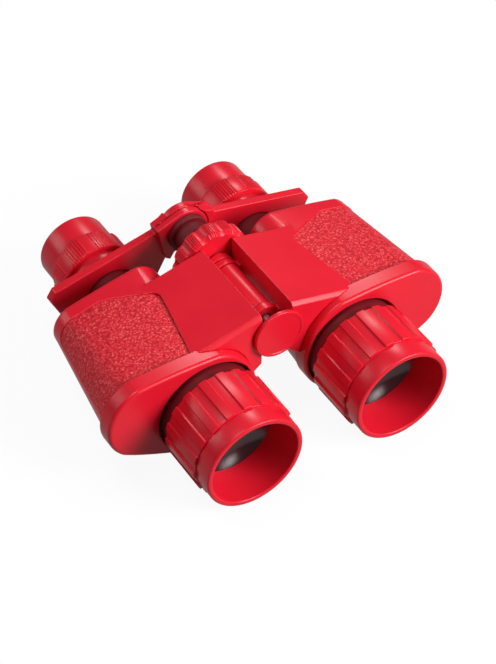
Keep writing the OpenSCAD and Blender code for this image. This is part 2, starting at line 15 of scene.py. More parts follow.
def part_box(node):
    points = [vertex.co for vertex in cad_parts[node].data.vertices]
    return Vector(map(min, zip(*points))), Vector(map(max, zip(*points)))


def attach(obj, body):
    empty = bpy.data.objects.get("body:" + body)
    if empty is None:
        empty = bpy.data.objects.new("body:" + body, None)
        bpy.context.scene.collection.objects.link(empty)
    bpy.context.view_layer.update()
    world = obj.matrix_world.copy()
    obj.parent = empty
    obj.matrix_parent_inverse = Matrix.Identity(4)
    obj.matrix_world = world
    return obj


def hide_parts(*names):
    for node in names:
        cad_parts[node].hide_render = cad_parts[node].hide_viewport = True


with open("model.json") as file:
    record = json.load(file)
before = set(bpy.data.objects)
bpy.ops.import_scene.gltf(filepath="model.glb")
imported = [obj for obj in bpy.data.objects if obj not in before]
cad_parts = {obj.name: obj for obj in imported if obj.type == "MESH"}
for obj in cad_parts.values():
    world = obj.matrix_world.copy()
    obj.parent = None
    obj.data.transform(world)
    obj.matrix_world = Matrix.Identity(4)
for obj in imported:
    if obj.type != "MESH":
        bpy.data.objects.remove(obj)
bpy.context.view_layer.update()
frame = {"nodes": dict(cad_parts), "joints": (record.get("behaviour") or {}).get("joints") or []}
MM = 0.001
# Two points that are closer than a hair count as one.
HAIR = MM / 1000

# %% [markdown]
# ## Places
# Each half is drawn flat in its own frame: x runs outward from the hinge, z up from it, and y along the tubes.
# Then the half is folded down about the hinge. The hinge and the tube's axis come from the joints, and the places
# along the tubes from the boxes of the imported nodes, so that no place is typed twice.

# %% Places from the frame
FOLD = radians(12.3)
joints = {joint["name"]: joint for joint in frame["joints"]}
HINGE_Z = joints["ipd_hinge"]["pos_m"][2]
TUBE_X, TUBE_Z = joints["left_dioptre_turn"]["pos_m"][0], joints["left_dioptre_turn"]["pos_m"][2]
TUBE_OUT = TUBE_X * cos(FOLD) - (TUBE_Z - HINGE_Z) * sin(FOLD)
TUBE_LOW = TUBE_X * sin(FOLD) + (TUBE_Z - HINGE_Z) * cos(FOLD)
TUBE_AXIS = (TUBE_X, TUBE_Z)
HINGE_AXIS = (0, HINGE_Z)


def front(node):
    """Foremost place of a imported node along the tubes."""
    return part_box(node)[0].y


def back(node):
    """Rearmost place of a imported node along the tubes."""
    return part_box(node)[1].y


Y_RIM, Y_RING = front("left_objective_bezel"), front("left_objective_ring")
Y_NECK = back("left_objective_ring")
Y_COVER, Y_HOUSING = front("left_front_cover"), back("left_front_cover")
Y_WEB, Y_REAR = front("left_housing"), back("left_housing")
Y_HUB, Y_ARM_REAR = front("left_bridge_arm"), back("left_bridge_arm")
Y_DIOPTRE, Y_CUP, Y_END = front("left_dioptre_ring"), front("left_eyecup"), back("left_eyecup")
Y_WHEEL, Y_WHEEL_REAR = front("focus_wheel"), back("focus_wheel")
print("tube axis in the half's frame, mm:", round(TUBE_OUT / MM, 2), round(TUBE_LOW / MM, 2))

# %% [markdown]
# ## Working helpers
# Every piece starts from a primitive and is shaped in edit mode. A turned piece grows from one vertex: the vertex is
# extruded along the profile, and the profile is spun round the axis. A lofted piece grows from a circle: the ring is
# extruded from section to section. Booleans and bevels finish them, and each modifier is applied at once.


# %% Helpers for starting and ending a piece
def clear_selection():
    """Leaves edit mode and deselects everything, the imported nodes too."""
    if bpy.context.object and bpy.context.object.mode != "OBJECT":
        bpy.ops.object.mode_set(mode="OBJECT")
    bpy.ops.object.select_all(action="DESELECT")


def take_up(obj):
    """Makes one object the only selected and active one."""
    clear_selection()
    obj.select_set(True)
    bpy.context.view_layer.objects.active = obj


def begin_edit(name):
    """Names the new primitive and opens it for editing."""
    obj = bpy.context.object
    obj.name = obj.data.name = name
    bpy.ops.object.mode_set(mode="EDIT")
    bpy.context.tool_settings.mesh_select_mode = (True, False, False)
    return obj


def close_up(merge=HAIR):
    """Merges doubles, turns all faces outwards and leaves edit mode."""
    bpy.ops.mesh.select_all(action="SELECT")
    bpy.ops.mesh.remove_doubles(threshold=merge)
    bpy.ops.mesh.normals_make_consistent(inside=False)
    bpy.ops.object.mode_set(mode="OBJECT")


def pick(obj, wanted):
    """Selects the vertices that a test accepts."""
    mesh = bmesh.from_edit_mesh(obj.data)
    for vertex in mesh.verts:
        vertex.select = wanted(vertex.co)
    mesh.select_flush_mode()
    bmesh.update_edit_mesh(obj.data)


# %% Helpers for outlines
def rounded(corners, steps=5):
    """Turns corners (u, v, radius) into points, with an arc at each corner that has a radius."""
    points = []
    for i, (u, v, radius) in enumerate(corners):
        here = Vector((u, v))
        if not radius:
            points.append(here)
            continue
        to_last = (Vector(corners[i - 1][:2]) - here).normalized()
        to_next = (Vector(corners[(i + 1) % len(corners)][:2]) - here).normalized()
        half = to_last.angle(to_next) / 2
        centre = here + (to_last + to_next).normalized() * radius / sin(half)
        first = here + to_last * radius / tan(half) - centre
        last = here + to_next * radius / tan(half) - centre
        turn = first.angle_signed(last)
        for k in range(steps + 1):
            points.append(centre + Matrix.Rotation(-turn * k / steps, 2) @ first)
    return points


def shifted(points, inset):
    """Moves every edge of a closed outline inwards; the outline runs clockwise."""
    moved = []
    for i, (u, v) in enumerate(points):
        here = Vector((u, v))
        before = (here - Vector(points[i - 1])).normalized()
        after = (Vector(points[(i + 1) % len(points)]) - here).normalized()
        inward = Vector((before.y, -before.x)), Vector((after.y, -after.x))
        moved.append(here + (inward[0] + inward[1]) * inset / (1 + inward[0].dot(inward[1])))
    return moved


def band(circles, grow, count):
    """Points of a band drawn tight round some circles, clockwise from the top, one for each outward direction."""
    points = []
    for i in range(count):
        angle = pi / 2 - tau * i / count
        out = Vector((cos(angle), sin(angle)))
        x, z, r = max(circles, key=lambda c: c[0] * out.x + c[1] * out.y + c[2])
        points.append(Vector((x, z)) + (r + grow) * out)
    return points


def eased(points, reach=5):
    """Averages each point of a closed outline with its neighbours, which eases the bends into the flats."""
    count = len(points)
    spread = range(-reach, reach + 1)
    return [sum((points[(i + k) % count] for k in spread), Vector((0, 0))) / len(spread) for i in range(count)]


# %% Helpers for solids
ROUND_STEPS = 96


def turned(name, profile, axis, steps=ROUND_STEPS, closed=True):
    """Spins a profile of (radius, y) points round an axis along Y."""
    clear_selection()
    bpy.ops.mesh.primitive_plane_add(size=MM)
    obj = begin_edit(name)
    bpy.ops.mesh.merge(type="CENTER")
    bpy.ops.transform.translate(value=(axis[0] + profile[0][0], profile[0][1], axis[1]))
    for here, there in zip(profile, profile[1:]):
        step = (there[0] - here[0], there[1] - here[1], 0)
        bpy.ops.mesh.extrude_region_move(TRANSFORM_OT_translate={"value": step})
    if closed:
        ends = [Vector((axis[0] + r, y, axis[1])) for r, y in (profile[0], profile[-1])]
        pick(obj, lambda co: min((co - end).length for end in ends) < HAIR)
        bpy.ops.mesh.edge_face_add()
    bpy.ops.mesh.select_all(action="SELECT")
    bpy.ops.mesh.spin(steps=steps, angle=tau, center=(axis[0], 0, axis[1]), axis=(0, 1, 0))
    close_up()
    return obj


def prism(name, outline, push):
    """Draws a closed outline of 3-D points from one vertex, fills it and extrudes it."""
    clear_selection()
    bpy.ops.mesh.primitive_plane_add(size=MM)
    obj = begin_edit(name)
    bpy.ops.mesh.merge(type="CENTER")
    bpy.ops.transform.translate(value=outline[0])
    for here, there in zip(outline, outline[1:]):
        bpy.ops.mesh.extrude_region_move(TRANSFORM_OT_translate={"value": Vector(there) - Vector(here)})
    bpy.ops.mesh.select_all(action="SELECT")
    bpy.ops.mesh.edge_face_add()
    bpy.ops.mesh.extrude_region_move(TRANSFORM_OT_translate={"value": push})
    close_up()
    return obj


def along_y(name, outline, y0, y1):
    """A prism whose outline lies in x and z and which runs from y0 to y1."""
    return prism(name, [(x, y0, z) for x, z in outline], (0, y1 - y0, 0))


def loft(name, rings, fill_ends=True):
    """Extrudes one ring of points through all the others."""
    clear_selection()
    bpy.ops.mesh.primitive_circle_add(vertices=len(rings[0]), radius=MM)
    obj = begin_edit(name)
    mesh = bmesh.from_edit_mesh(obj.data)
    mesh.verts.ensure_lookup_table()
    order = list(range(len(rings[0])))
    for i, point in zip(order, rings[0]):
        mesh.verts[i].co = point
    for ring in rings[1:]:
        bpy.ops.mesh.extrude_region_move()
        mesh = bmesh.from_edit_mesh(obj.data)
        mesh.verts.index_update()
        mesh.verts.ensure_lookup_table()
        fresh = []
        for i, point in zip(order, ring):
            old = mesh.verts[i]
            new = next(e.other_vert(old) for e in old.link_edges if e.other_vert(old).select)
            new.co = point
            fresh.append(new.index)
        order = fresh
    bmesh.update_edit_mesh(obj.data)
    if fill_ends:
        bpy.ops.mesh.edge_face_add()
        mesh = bmesh.from_edit_mesh(obj.data)
        for vertex in mesh.verts:
            vertex.select = vertex.index < len(rings[0])
        mesh.select_flush_mode()
        bpy.ops.mesh.edge_face_add()
    close_up()
    return obj


def rod(name, radius, axis, y0, y1):
    """A plain cylinder along Y, used only to cut or to add to another solid."""
    clear_selection()
    bpy.ops.mesh.primitive_cylinder_add(
        vertices=ROUND_STEPS, radius=radius, depth=y1 - y0, location=(axis[0], (y0 + y1) / 2, axis[1]),
        rotation=(pi / 2, 0, 0),
    )
    obj = bpy.context.object
    obj.name = obj.data.name = name
    bpy.ops.object.transform_apply()
    return obj


# %% [markdown]
# ## Modifiers and the two halves
# Joined and cut solids have hard edges, and a mould leaves soft ones, so a bevel rounds them. A Boolean leaves slivers
# that would spoil the bevel: close points are merged and flat faces joined first. The halves mirror each other, so
# most pieces are made for the left half and copied for the right one.

# %% Helpers for modifiers and for the two halves
SLIVER = MM / 50
FLAT_ANGLE = radians(0.2)


def apply(obj, kind, **settings):
    """Adds a modifier with its settings and applies it."""
    take_up(obj)
    modifier = obj.modifiers.new(kind.title(), kind)
    for key, value in settings.items():
        setattr(modifier, key, value)
    bpy.ops.object.modifier_apply(modifier=modifier.name)


def combine(obj, tool, how):
    """Joins, cuts or intersects two solids and removes the second."""
    apply(obj, "BOOLEAN", object=tool, operation=how, solver="EXACT")
    bpy.data.objects.remove(tool)


def soften(obj, width, steps=3, angle=30):
    """Rounds every edge that is sharper than the angle, as a mould does."""
    take_up(obj)
    bpy.ops.object.mode_set(mode="EDIT")
    close_up(merge=SLIVER)
    bpy.ops.object.mode_set(mode="EDIT")
    bpy.ops.mesh.dissolve_limited(angle_limit=FLAT_ANGLE)
    bpy.ops.object.mode_set(mode="OBJECT")
    apply(
        obj, "BEVEL", width=width, segments=steps, limit_method="ANGLE", angle_limit=radians(angle),
        use_clamp_overlap=False, miter_outer="MITER_ARC",
    )


def fold_down(obj):
    """Turns a piece drawn in the half's frame down about the hinge and lifts it to the hinge's height."""
    take_up(obj)
    obj.rotation_euler = (0, FOLD, 0)
    obj.location = (0, 0, HINGE_Z)
    bpy.ops.object.transform_apply()


def rest_on_floor(obj):
    """Cuts the flat that the piece rests on."""
    take_up(obj)
    bpy.ops.object.mode_set(mode="EDIT")
    bpy.ops.mesh.select_all(action="SELECT")
    bpy.ops.mesh.bisect(plane_co=(0, 0, 0), plane_no=(0, 0, 1), clear_inner=True, use_fill=True, threshold=HAIR)
    close_up()


def mirror(obj):
    """Turns a left piece into a right one."""
    take_up(obj)
    obj.scale = (-1, 1, 1)
    bpy.ops.object.transform_apply()
    bpy.ops.object.mode_set(mode="EDIT")
    close_up()
    return obj


def copied(obj, name):
    """A copy of a piece, with a mesh of its own."""
    take_up(obj)
    bpy.ops.object.duplicate()
    copy = bpy.context.object
    copy.name = copy.data.name = name
    return copy


# %% [markdown]
# ## Materials
# The toy is moulded in ABS: one red runs through everything, so the finishes tell the parts apart. The shell is
# glossy with the faint waviness of a moulded skin, the grips carry a fine leather grain with painted highlights and
# painted shade, the inside is dull and dark, and the pieces deep in the shade of others get the same dark red as
# painted shade. The lenses are smoked, and the pins are turned steel. Colours are written as hex and changed to linear
# values, and the size of each pattern is written in millimetres.


# %% Helpers for materials
def linear(code):
    """Changes a hex colour to the linear values that a shader takes."""
    channels = [int(code[i : i + 2], 16) / 255 for i in (1, 3, 5)]
    return [c / 12.92 if c <= 0.04045 else ((c + 0.055) / 1.055) ** 2.4 for c in channels] + [1.0]


def add_node(owner, kind, values=None, links=None, **settings):
    """Adds a node to a material or a world, sets its options and sockets, and links its inputs."""
    tree = owner.node_tree
    node = tree.nodes.new(kind)
    for key, value in settings.items():
        setattr(node, key, value)
    for socket, value in (values or {}).items():
        node.inputs[socket].default_value = value
    for socket, source in (links or {}).items():
        tree.links.new(source, node.inputs[socket])
    return node


def new_material(name):
    """A material with an empty node tree."""
    material = bpy.data.materials.new(name)
    material.use_nodes = True
    material.node_tree.nodes.clear()
    return material


def per_metre(size_mm):
    """Texture scale for a pattern whose cells are this many millimetres wide."""
    return 1 / (size_mm * MM)


def ramp_colours(node, *stops):
    """Sets the stops of a colour ramp as (position, linear colour)."""
    elements = node.color_ramp.elements
    while len(elements) < len(stops):
        elements.new(1.0)
    for element, (position, colour) in zip(elements, stops):
        element.position = position
        element.color = colour


# %% [markdown]
# ### Moulded ABS
# The shells come out of a polished mould, so their skin is glossy but never quite even. A picture could carry that
# unevenness. A broad noise for tint and gloss, and a fine one for the ripple of the skin, do it without seams.

# %% Moulded ABS for the shells
RED = "#e01a2e"
RED_DEEP = "#d4172b"
ABS_IOR = 1.54
SHELL_ROUGHNESS, GLOSS_SPREAD, SHELL_GLINT = 0.3, 0.03, 0.3
SHEEN_SIZE_MM, RIPPLE_SIZE_MM = 14, 1.1
RIPPLE_STRENGTH, RIPPLE_HEIGHT = 0.08, 0.05 * MM
# Noise seldom leaves this range, so the tint and the gloss are spread over it.
NOISE_LOW, NOISE_HIGH = 0.1, 0.9


def moulded_abs(name, light, deep, roughness):
    """Glossy ABS: broad highlights, a faint unevenness of tint, and the slight ripple of a moulded skin."""
    material = new_material(name)
    place = add_node(material, "ShaderNodeTexCoord").outputs["Object"]
    flow = add_node(material, "ShaderNodeTexNoise", {"Scale": per_metre(SHEEN_SIZE_MM), "Detail": 2}, {"Vector": place})
    tint = add_node(material, "ShaderNodeValToRGB", links={"Fac": flow.outputs["Fac"]})
    ramp_colours(tint, (NOISE_LOW, linear(deep)), (NOISE_HIGH, linear(light)))
    gloss = add_node(
        material, "ShaderNodeMapRange",
        {
            "From Min": NOISE_LOW, "From Max": NOISE_HIGH,
            "To Min": roughness - GLOSS_SPREAD, "To Max": roughness + GLOSS_SPREAD,
        },
        {"Value": flow.outputs["Fac"]},
    )
    ripple = add_node(
        material, "ShaderNodeTexNoise", {"Scale": per_metre(RIPPLE_SIZE_MM), "Detail": 1}, {"Vector": place}
    )
    skin = add_node(
        material, "ShaderNodeBump", {"Strength": RIPPLE_STRENGTH, "Distance": RIPPLE_HEIGHT},
        {"Height": ripple.outputs["Fac"]},
    )
    shader = add_node(
        material, "ShaderNodeBsdfPrincipled", {"IOR": ABS_IOR, "Specular IOR Level": SHELL_GLINT},
        {"Base Color": tint.outputs["Color"], "Roughness": gloss.outputs["Result"], "Normal": skin.outputs["Normal"]},
    )
    add_node(material, "ShaderNodeOutputMaterial", links={"Surface": shader.outputs["BSDF"]})
    return material


shell_red = moulded_abs("moulded red ABS", RED, RED_DEEP, SHELL_ROUGHNESS)
print("made", shell_red.name)

# %% [markdown]
# ### Leather grain
# The grips imitate leather: small rounded pebbles with seams between them. Modelling every pebble would take
# millions of faces, so smooth cells, bent a little by noise, give both the tint and the relief. The tint is painted
# light: a painted highlight on each pebble's top and painted shade in the seams. The grain is drawn somewhat coarser
# than the real one, so that it shows at the size of the picture.

# %% Leather-grained ABS for the grips
# The light red is a painted highlight on the pebbles' tops, and the deep red is painted shade in the seams.
GRAIN_PAINTED_HIGHLIGHT = "#ea7066"
GRAIN_RED = "#dc2636"
GRAIN_PAINTED_SHADE = "#b01825"
TOP_STOP, SIDE_STOP, SEAM_STOP = 0.06, 0.36, 0.75
GRAIN_SIZE_MM, PEBBLE_SIZE_MM, GRAIN_HEIGHT = 0.8, 0.4, 0.16 * MM
GRIP_ROUGHNESS, GRIP_GLINT = 0.4, 0.15
NOISE_MIDDLE = (0.5, 0.5, 0.5)


def grained_abs(name):
    """ABS with a leather grain: rounded pebbles with a painted highlight on their tops and painted shade in the seams.
    """
    material = new_material(name)
    place = add_node(material, "ShaderNodeTexCoord").outputs["Object"]
    warp = add_node(
        material, "ShaderNodeTexNoise", {"Scale": per_metre(GRAIN_SIZE_MM * 2), "Detail": 2}, {"Vector": place}
    )
    shift = add_node(
        material, "ShaderNodeVectorMath", {1: NOISE_MIDDLE}, {0: warp.outputs["Color"]}, operation="SUBTRACT"
    )
    push = add_node(
        material, "ShaderNodeVectorMath", {"Scale": GRAIN_SIZE_MM * MM}, {0: shift.outputs["Vector"]},
        operation="SCALE",
    )
    bent = add_node(
        material, "ShaderNodeVectorMath", links={0: place, 1: push.outputs["Vector"]}, operation="ADD"
    ).outputs["Vector"]
    cells = add_node(
        material, "ShaderNodeTexVoronoi", {"Scale": per_metre(GRAIN_SIZE_MM)}, {"Vector": bent},
        feature="SMOOTH_F1",
    )
    fine = add_node(
        material, "ShaderNodeTexNoise", {"Scale": per_metre(PEBBLE_SIZE_MM), "Detail": 2}, {"Vector": place}
    )
    height = add_node(
        material, "ShaderNodeMath", links={0: cells.outputs["Distance"], 1: fine.outputs["Fac"]}, operation="SUBTRACT"
    )
    # Painted highlight on the pebbles' tops, the grip's own red on their sides, painted shade in the seams.
    tint = add_node(material, "ShaderNodeValToRGB", links={"Fac": cells.outputs["Distance"]})
    ramp_colours(
        tint, (TOP_STOP, linear(GRAIN_PAINTED_HIGHLIGHT)), (SIDE_STOP, linear(GRAIN_RED)), (SEAM_STOP, linear(GRAIN_PAINTED_SHADE))
    )
    skin = add_node(
        material, "ShaderNodeBump", {"Strength": 1.0, "Distance": GRAIN_HEIGHT}, {"Height": height.outputs["Value"]},
        invert=True,
    )
    shader = add_node(
        material, "ShaderNodeBsdfPrincipled",
        {"IOR": ABS_IOR, "Roughness": GRIP_ROUGHNESS, "Specular IOR Level": GRIP_GLINT},
        {"Base Color": tint.outputs["Color"], "Normal": skin.outputs["Normal"]},
    )
    add_node(material, "ShaderNodeOutputMaterial", links={"Surface": shader.outputs["BSDF"]})
    return material


grip_red = grained_abs("leather-grained red ABS")
print("made", grip_red.name)

# %% [markdown]
# ### Dull inside and painted shade
# Inside, the mould isn't polished, so the inner pieces are dull and dark. The pieces that lie deep in the shade of
# others, the barrels' necks, the hub's nose and the eyepiece tubes in front of the arms, get the same deeper red as
# painted shade. The same ABS with a deeper red and a rough skin gives both.

# %% Dull dark ABS for the inside and for painted shade
# A deep red that is painted shade on the pieces in the shade of others, and the dull inside's own colour on the inner
# pieces.
INSIDE_AND_SHADE_RED = "#7c121c"
INSIDE_AND_SHADE_DEEP = "#640e17"
INNER_ROUGHNESS = 0.6

inside_and_painted_shade = moulded_abs("dull dark red ABS and painted shade", INSIDE_AND_SHADE_RED, INSIDE_AND_SHADE_DEEP, INNER_ROUGHNESS)
print("made", inside_and_painted_shade.name)

# %% [markdown]
# ### Smoked lenses
# A lens shows two images of a lamp: a small sharp one in its front face, and a broad soft one in its rear face, which
# is curved like a bowl. Light could be traced through both faces, but that is slow and noisy in a lens this dark. A
# coat whose normal bends like the rear face mirrors the lamp as the same soft spot.

# %% Smoked acrylic for the lenses
LENS_SMOKE = "#140508"
LENS_BLOOM = "#e4e0ff"
ACRYLIC_IOR = 1.49
BOWL_R_MM, HAZE_SIZE_MM = 10, 9
LENS_CLEAR, LENS_HAZY = 0.03, 0.08


def rear_face_normal(material, place):
    """Normal of the lens's rear face, which bends like a bowl round the tube's axis and mirrors a lamp as a spot."""
    parts = add_node(material, "ShaderNodeSeparateXYZ", links={0: place})
    far = add_node(material, "ShaderNodeMath", links={0: parts.outputs["X"]}, operation="ABSOLUTE")
    side = add_node(material, "ShaderNodeMath", links={0: parts.outputs["X"]}, operation="SIGN")
    out = add_node(material, "ShaderNodeMath", {1: TUBE_X}, {0: far.outputs["Value"]}, operation="SUBTRACT")
    along = add_node(
        material, "ShaderNodeMath", links={0: out.outputs["Value"], 1: side.outputs["Value"]}, operation="MULTIPLY"
    )
    up = add_node(material, "ShaderNodeMath", {1: TUBE_Z}, {0: parts.outputs["Z"]}, operation="SUBTRACT")
    from_axis = add_node(
        material, "ShaderNodeCombineXYZ", links={"X": along.outputs["Value"], "Z": up.outputs["Value"]}
    )
    turned_with_piece = add_node(
        material, "ShaderNodeVectorTransform", links={"Vector": from_axis.outputs["Vector"]},
        vector_type="VECTOR", convert_from="OBJECT", convert_to="WORLD",
    )
    lean = add_node(
        material, "ShaderNodeVectorMath", {"Scale": -1 / (BOWL_R_MM * MM)}, {0: turned_with_piece.outputs["Vector"]},
        operation="SCALE",
    )
    face = add_node(material, "ShaderNodeNewGeometry").outputs["Normal"]
    bent = add_node(
        material, "ShaderNodeVectorMath", links={0: face, 1: lean.outputs["Vector"]}, operation="ADD"
    )
    return add_node(
        material, "ShaderNodeVectorMath", links={0: bent.outputs["Vector"]}, operation="NORMALIZE"
    ).outputs["Vector"]


def smoked_lens(name):
    """Smoked acrylic lens: almost black, with a clear gloss and a second, softer image of the lamp behind it."""
    material = new_material(name)
    place = add_node(material, "ShaderNodeTexCoord").outputs["Object"]
    haze = add_node(material, "ShaderNodeTexNoise", {"Scale": per_metre(HAZE_SIZE_MM), "Detail": 2}, {"Vector": place})
    gloss = add_node(
        material, "ShaderNodeMapRange", {"To Min": LENS_CLEAR, "To Max": LENS_HAZY}, {"Value": haze.outputs["Fac"]}
    )
    shader = add_node(
        material, "ShaderNodeBsdfPrincipled",
        {
            "Base Color": linear(LENS_SMOKE), "IOR": ACRYLIC_IOR,
            "Coat Weight": 1.0, "Coat IOR": 1.7, "Coat Roughness": 0.2, "Coat Tint": linear(LENS_BLOOM),
        },
        {"Roughness": gloss.outputs["Result"], "Coat Normal": rear_face_normal(material, place)},
    )
    add_node(material, "ShaderNodeOutputMaterial", links={"Surface": shader.outputs["BSDF"]})
    return material


lens_smoke = smoked_lens("smoked acrylic")
print("made", lens_smoke.name)

# %% [markdown]
# ### Turned steel
# The pin and the spindle are plain steel from a lathe, whose tool leaves fine lines round the axis. Noise that is
# squeezed along the axis and drawn out across it gives such lines in the gloss alone.

# %% Turned steel for the pin and the spindle
STEEL = "#b4b7bb"
TOOL_LINE_MM, DRAWN_OUT = 0.3, (0.05, 1, 0.05)
STEEL_BRIGHT, STEEL_DULL = 0.22, 0.42


def turned_steel(name):
    """Plain turned steel: grey, with fine lines round the axis left by the tool."""
    material = new_material(name)
    place = add_node(material, "ShaderNodeTexCoord").outputs["Object"]
    squeeze = add_node(material, "ShaderNodeMapping", {"Scale": DRAWN_OUT}, {"Vector": place})
    lines = add_node(
        material, "ShaderNodeTexNoise", {"Scale": per_metre(TOOL_LINE_MM), "Detail": 3},
        {"Vector": squeeze.outputs["Vector"]},
    )
    gloss = add_node(
        material, "ShaderNodeMapRange", {"To Min": STEEL_BRIGHT, "To Max": STEEL_DULL}, {"Value": lines.outputs["Fac"]}
    )
    shader = add_node(
        material, "ShaderNodeBsdfPrincipled", {"Base Color": linear(STEEL), "Metallic": 1.0},
        {"Roughness": gloss.outputs["Result"]},
    )
    add_node(material, "ShaderNodeOutputMaterial", links={"Surface": shader.outputs["BSDF"]})
    return material


pin_steel = turned_steel("turned steel")
FINISHES = {
    "red_shell": shell_red, "red_grain": grip_red, "dark_inner": inside_and_painted_shade, "lens": lens_smoke,
    "pin_steel": pin_steel,
}
print("finishes:", [m.name for m in FINISHES.values()])


# %% [markdown]
# ## Dressing
# A finished piece gets smooth shading with sharp edges kept and the finish of its material slot. It is hung on an empty
# for the body that it rides on, and the imported nodes that it stands for are hidden. Large flat faces beside round
# edges would shade unevenly, so such pieces get normals weighted by face area.

# %% Dressing a finished piece
SHARP_DEGREES = 35


def dress(obj, body, slot, *nodes, angle=SHARP_DEGREES, flat_faces=False):
    """Shades a piece, gives it its finish, hangs it on its body and hides the nodes that it stands for."""
    take_up(obj)
    bpy.ops.object.shade_smooth_by_angle(angle=radians(angle))
    if flat_faces:
        apply(obj, "TRIANGULATE", min_vertices=5)
        apply(obj, "WEIGHTED_NORMAL", keep_sharp=True)
    obj.data.materials.clear()
    obj.data.materials.append(FINISHES[slot])
    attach(obj, body)
    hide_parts(*nodes)
    print(obj.name, "has", len(obj.data.polygons), "faces and rides on", body)


def dress_pair(left, body, slot, node, **options):
    """Dresses a left piece and its mirrored copy, and gives both back."""
    right = mirror(copied(left, left.name.replace("left", "right")))
    dress(left, "left_" + body, slot, "left_" + node, **options)
    dress(right, "right_" + body, slot, "right_" + node, **options)
    return left, right


# %% [markdown]
# ## Housings
# A housing is a round shell that runs from a shape like a rounded triangle in front to a softer one behind, with a flat
# top that reaches in to the hinge. Both sections are bands drawn round a few circles. Points with the same outward
# direction are joined, which gives the smooth ruled skin of the real moulding. The flat top and its wall are a prism
# that is joined to the shell, and the grip's recess is cut last.

# %% Sections of the housing
RING_POINTS = 128
PLATE_Z = 11.3 * MM
SHELL_R = 20.2 * MM
CROWN_UP = 2.6 * MM
HEEL = (43.3 * MM, -14.4 * MM, 12.4 * MM)
LOBE = (54.6 * MM, -0.5 * MM, 15.1 * MM)
REAR_IN, REAR_OUT, REAR_CORNER_R, BELLY_R = 19.5 * MM, 63.4 * MM, 10 * MM, 16.9 * MM
REAR_ROUND = 1.5 * MM
REST_DEPTH = 0.3 * MM
COVER_PROUD, LOBE_PROUD, COVER_ROUND = 0.6 * MM, 1.6 * MM, 1.4 * MM
SLICE = 1 * MM
LOFT_STEPS, REAR_STEPS, COVER_STEPS = 8, 4, 6

BELLY_X = REAR_IN + BELLY_R
BELLY_Z = (BELLY_X * sin(FOLD) + BELLY_R - REST_DEPTH - HINGE_Z) / cos(FOLD)
FRONT_CIRCLES = [
    (TUBE_OUT, TUBE_LOW, SHELL_R),
    (TUBE_OUT, TUBE_LOW + CROWN_UP, PLATE_Z - TUBE_LOW - CROWN_UP),
    HEEL,
    LOBE,
]
REAR_CIRCLES = [
    (REAR_IN + REAR_CORNER_R, PLATE_Z - REAR_CORNER_R, REAR_CORNER_R),
    (REAR_OUT - REAR_CORNER_R, PLATE_Z - REAR_CORNER_R, REAR_CORNER_R),
    (BELLY_X, BELLY_Z, BELLY_R),
]
COVER_CIRCLES = [
    (x, z, r + (LOBE_PROUD if (x, z, r) == LOBE else COVER_PROUD)) for x, z, r in FRONT_CIRCLES
]


def housing_rings(grow):
    """Sections of the housing from its front to its rear face, with a rounded rear edge."""
    first, last = Y_HOUSING + SLICE, Y_REAR - 2 * SLICE
    rows = [(Y_HOUSING, 0.0)] + [(first + (last - first) * k / LOFT_STEPS, 0.0) for k in range(LOFT_STEPS + 1)]
    for k in range(REAR_STEPS + 1):
        angle = pi / 2 * k / REAR_STEPS
        rows.append((Y_REAR - REAR_ROUND * (1 - sin(angle)), REAR_ROUND * (1 - cos(angle))))
    rings = []
    for y, inset in rows:
        share = min(max((y - first) / (last - first), 0), 1)
        ahead = eased(band(FRONT_CIRCLES, grow - inset, RING_POINTS))
        behind = eased(band(REAR_CIRCLES, grow - inset, RING_POINTS))
        rings.append([(a.x + (b.x - a.x) * share, y, a.y + (b.y - a.y) * share) for a, b in zip(ahead, behind)])
    return rings


def hole_ring(radius, y):
    """A circle of points round the tube's axis, to close a section with a round hole."""
    points = band([(TUBE_OUT, TUBE_LOW, radius)], 0, RING_POINTS)
    return [(p.x, y, p.y) for p in points]


print("the belly's middle, mm:", round(BELLY_X / MM, 2), round(BELLY_Z / MM, 2))

# %% [markdown]
# ### Web and front outline
# Between the tube and the hinge each housing has a web with a level top and an upright wall, which makes one side of
# the channel. An outline pushed along the tubes is enough for it, with a bevel on its front top edge. The cover's
# sections are drawn here too, because the web is cut to make room for the cover.

# %% Web between the shell and the hinge
CHANNEL_HALF = 6.1 * MM
WEB_DROP = 11 * MM
WEB_BEVEL = 1.5 * MM
PLATE_FALL = 0.4 * MM
WHEEL_GAP = 0.5 * MM
Y_WEB_REAR = Y_WHEEL - WHEEL_GAP
WALL = 1.8 * MM
SNUG = 0.05 * MM


def wall_x(z):
    """Outward place of the channel's wall, which leans so that it is upright once the half is folded."""
    return (CHANNEL_HALF - z * sin(FOLD)) / cos(FOLD)


def web_prism():
    """The solid that carries the level plate, from the channel's wall to the middle of the tube."""
    outline = [
        (wall_x(PLATE_Z), PLATE_Z),
        (TUBE_OUT, PLATE_Z - PLATE_FALL),
        (TUBE_OUT, TUBE_LOW),
        (wall_x(-WEB_DROP) + WEB_DROP, -WEB_DROP + TUBE_LOW / 2),
        (wall_x(-WEB_DROP), -WEB_DROP),
    ]
    web = along_y("web", outline, Y_WEB, Y_WEB_REAR)
    take_up(web)
    bpy.ops.object.mode_set(mode="EDIT")
    pick(web, lambda co: abs(co.y - Y_WEB) < SNUG and co.z > PLATE_Z - 2 * PLATE_FALL)
    bpy.ops.mesh.bevel(offset=WEB_BEVEL, segments=1, affect="EDGES")
    close_up()
    return web


def cover_rings(grow, y0, y1, edge):
    """Sections of the front cover from its rear face to its rounded front edge."""
    rows = [(y1, 0.0)]
    for k in range(COVER_STEPS + 1):
        angle = pi / 2 * k / COVER_STEPS
        rows.append((y0 + edge * (1 - sin(angle)), edge * (1 - cos(angle))))
    return [[(p.x, y, p.y) for p in eased(band(COVER_CIRCLES, grow - inset, RING_POINTS))] for y, inset in rows]


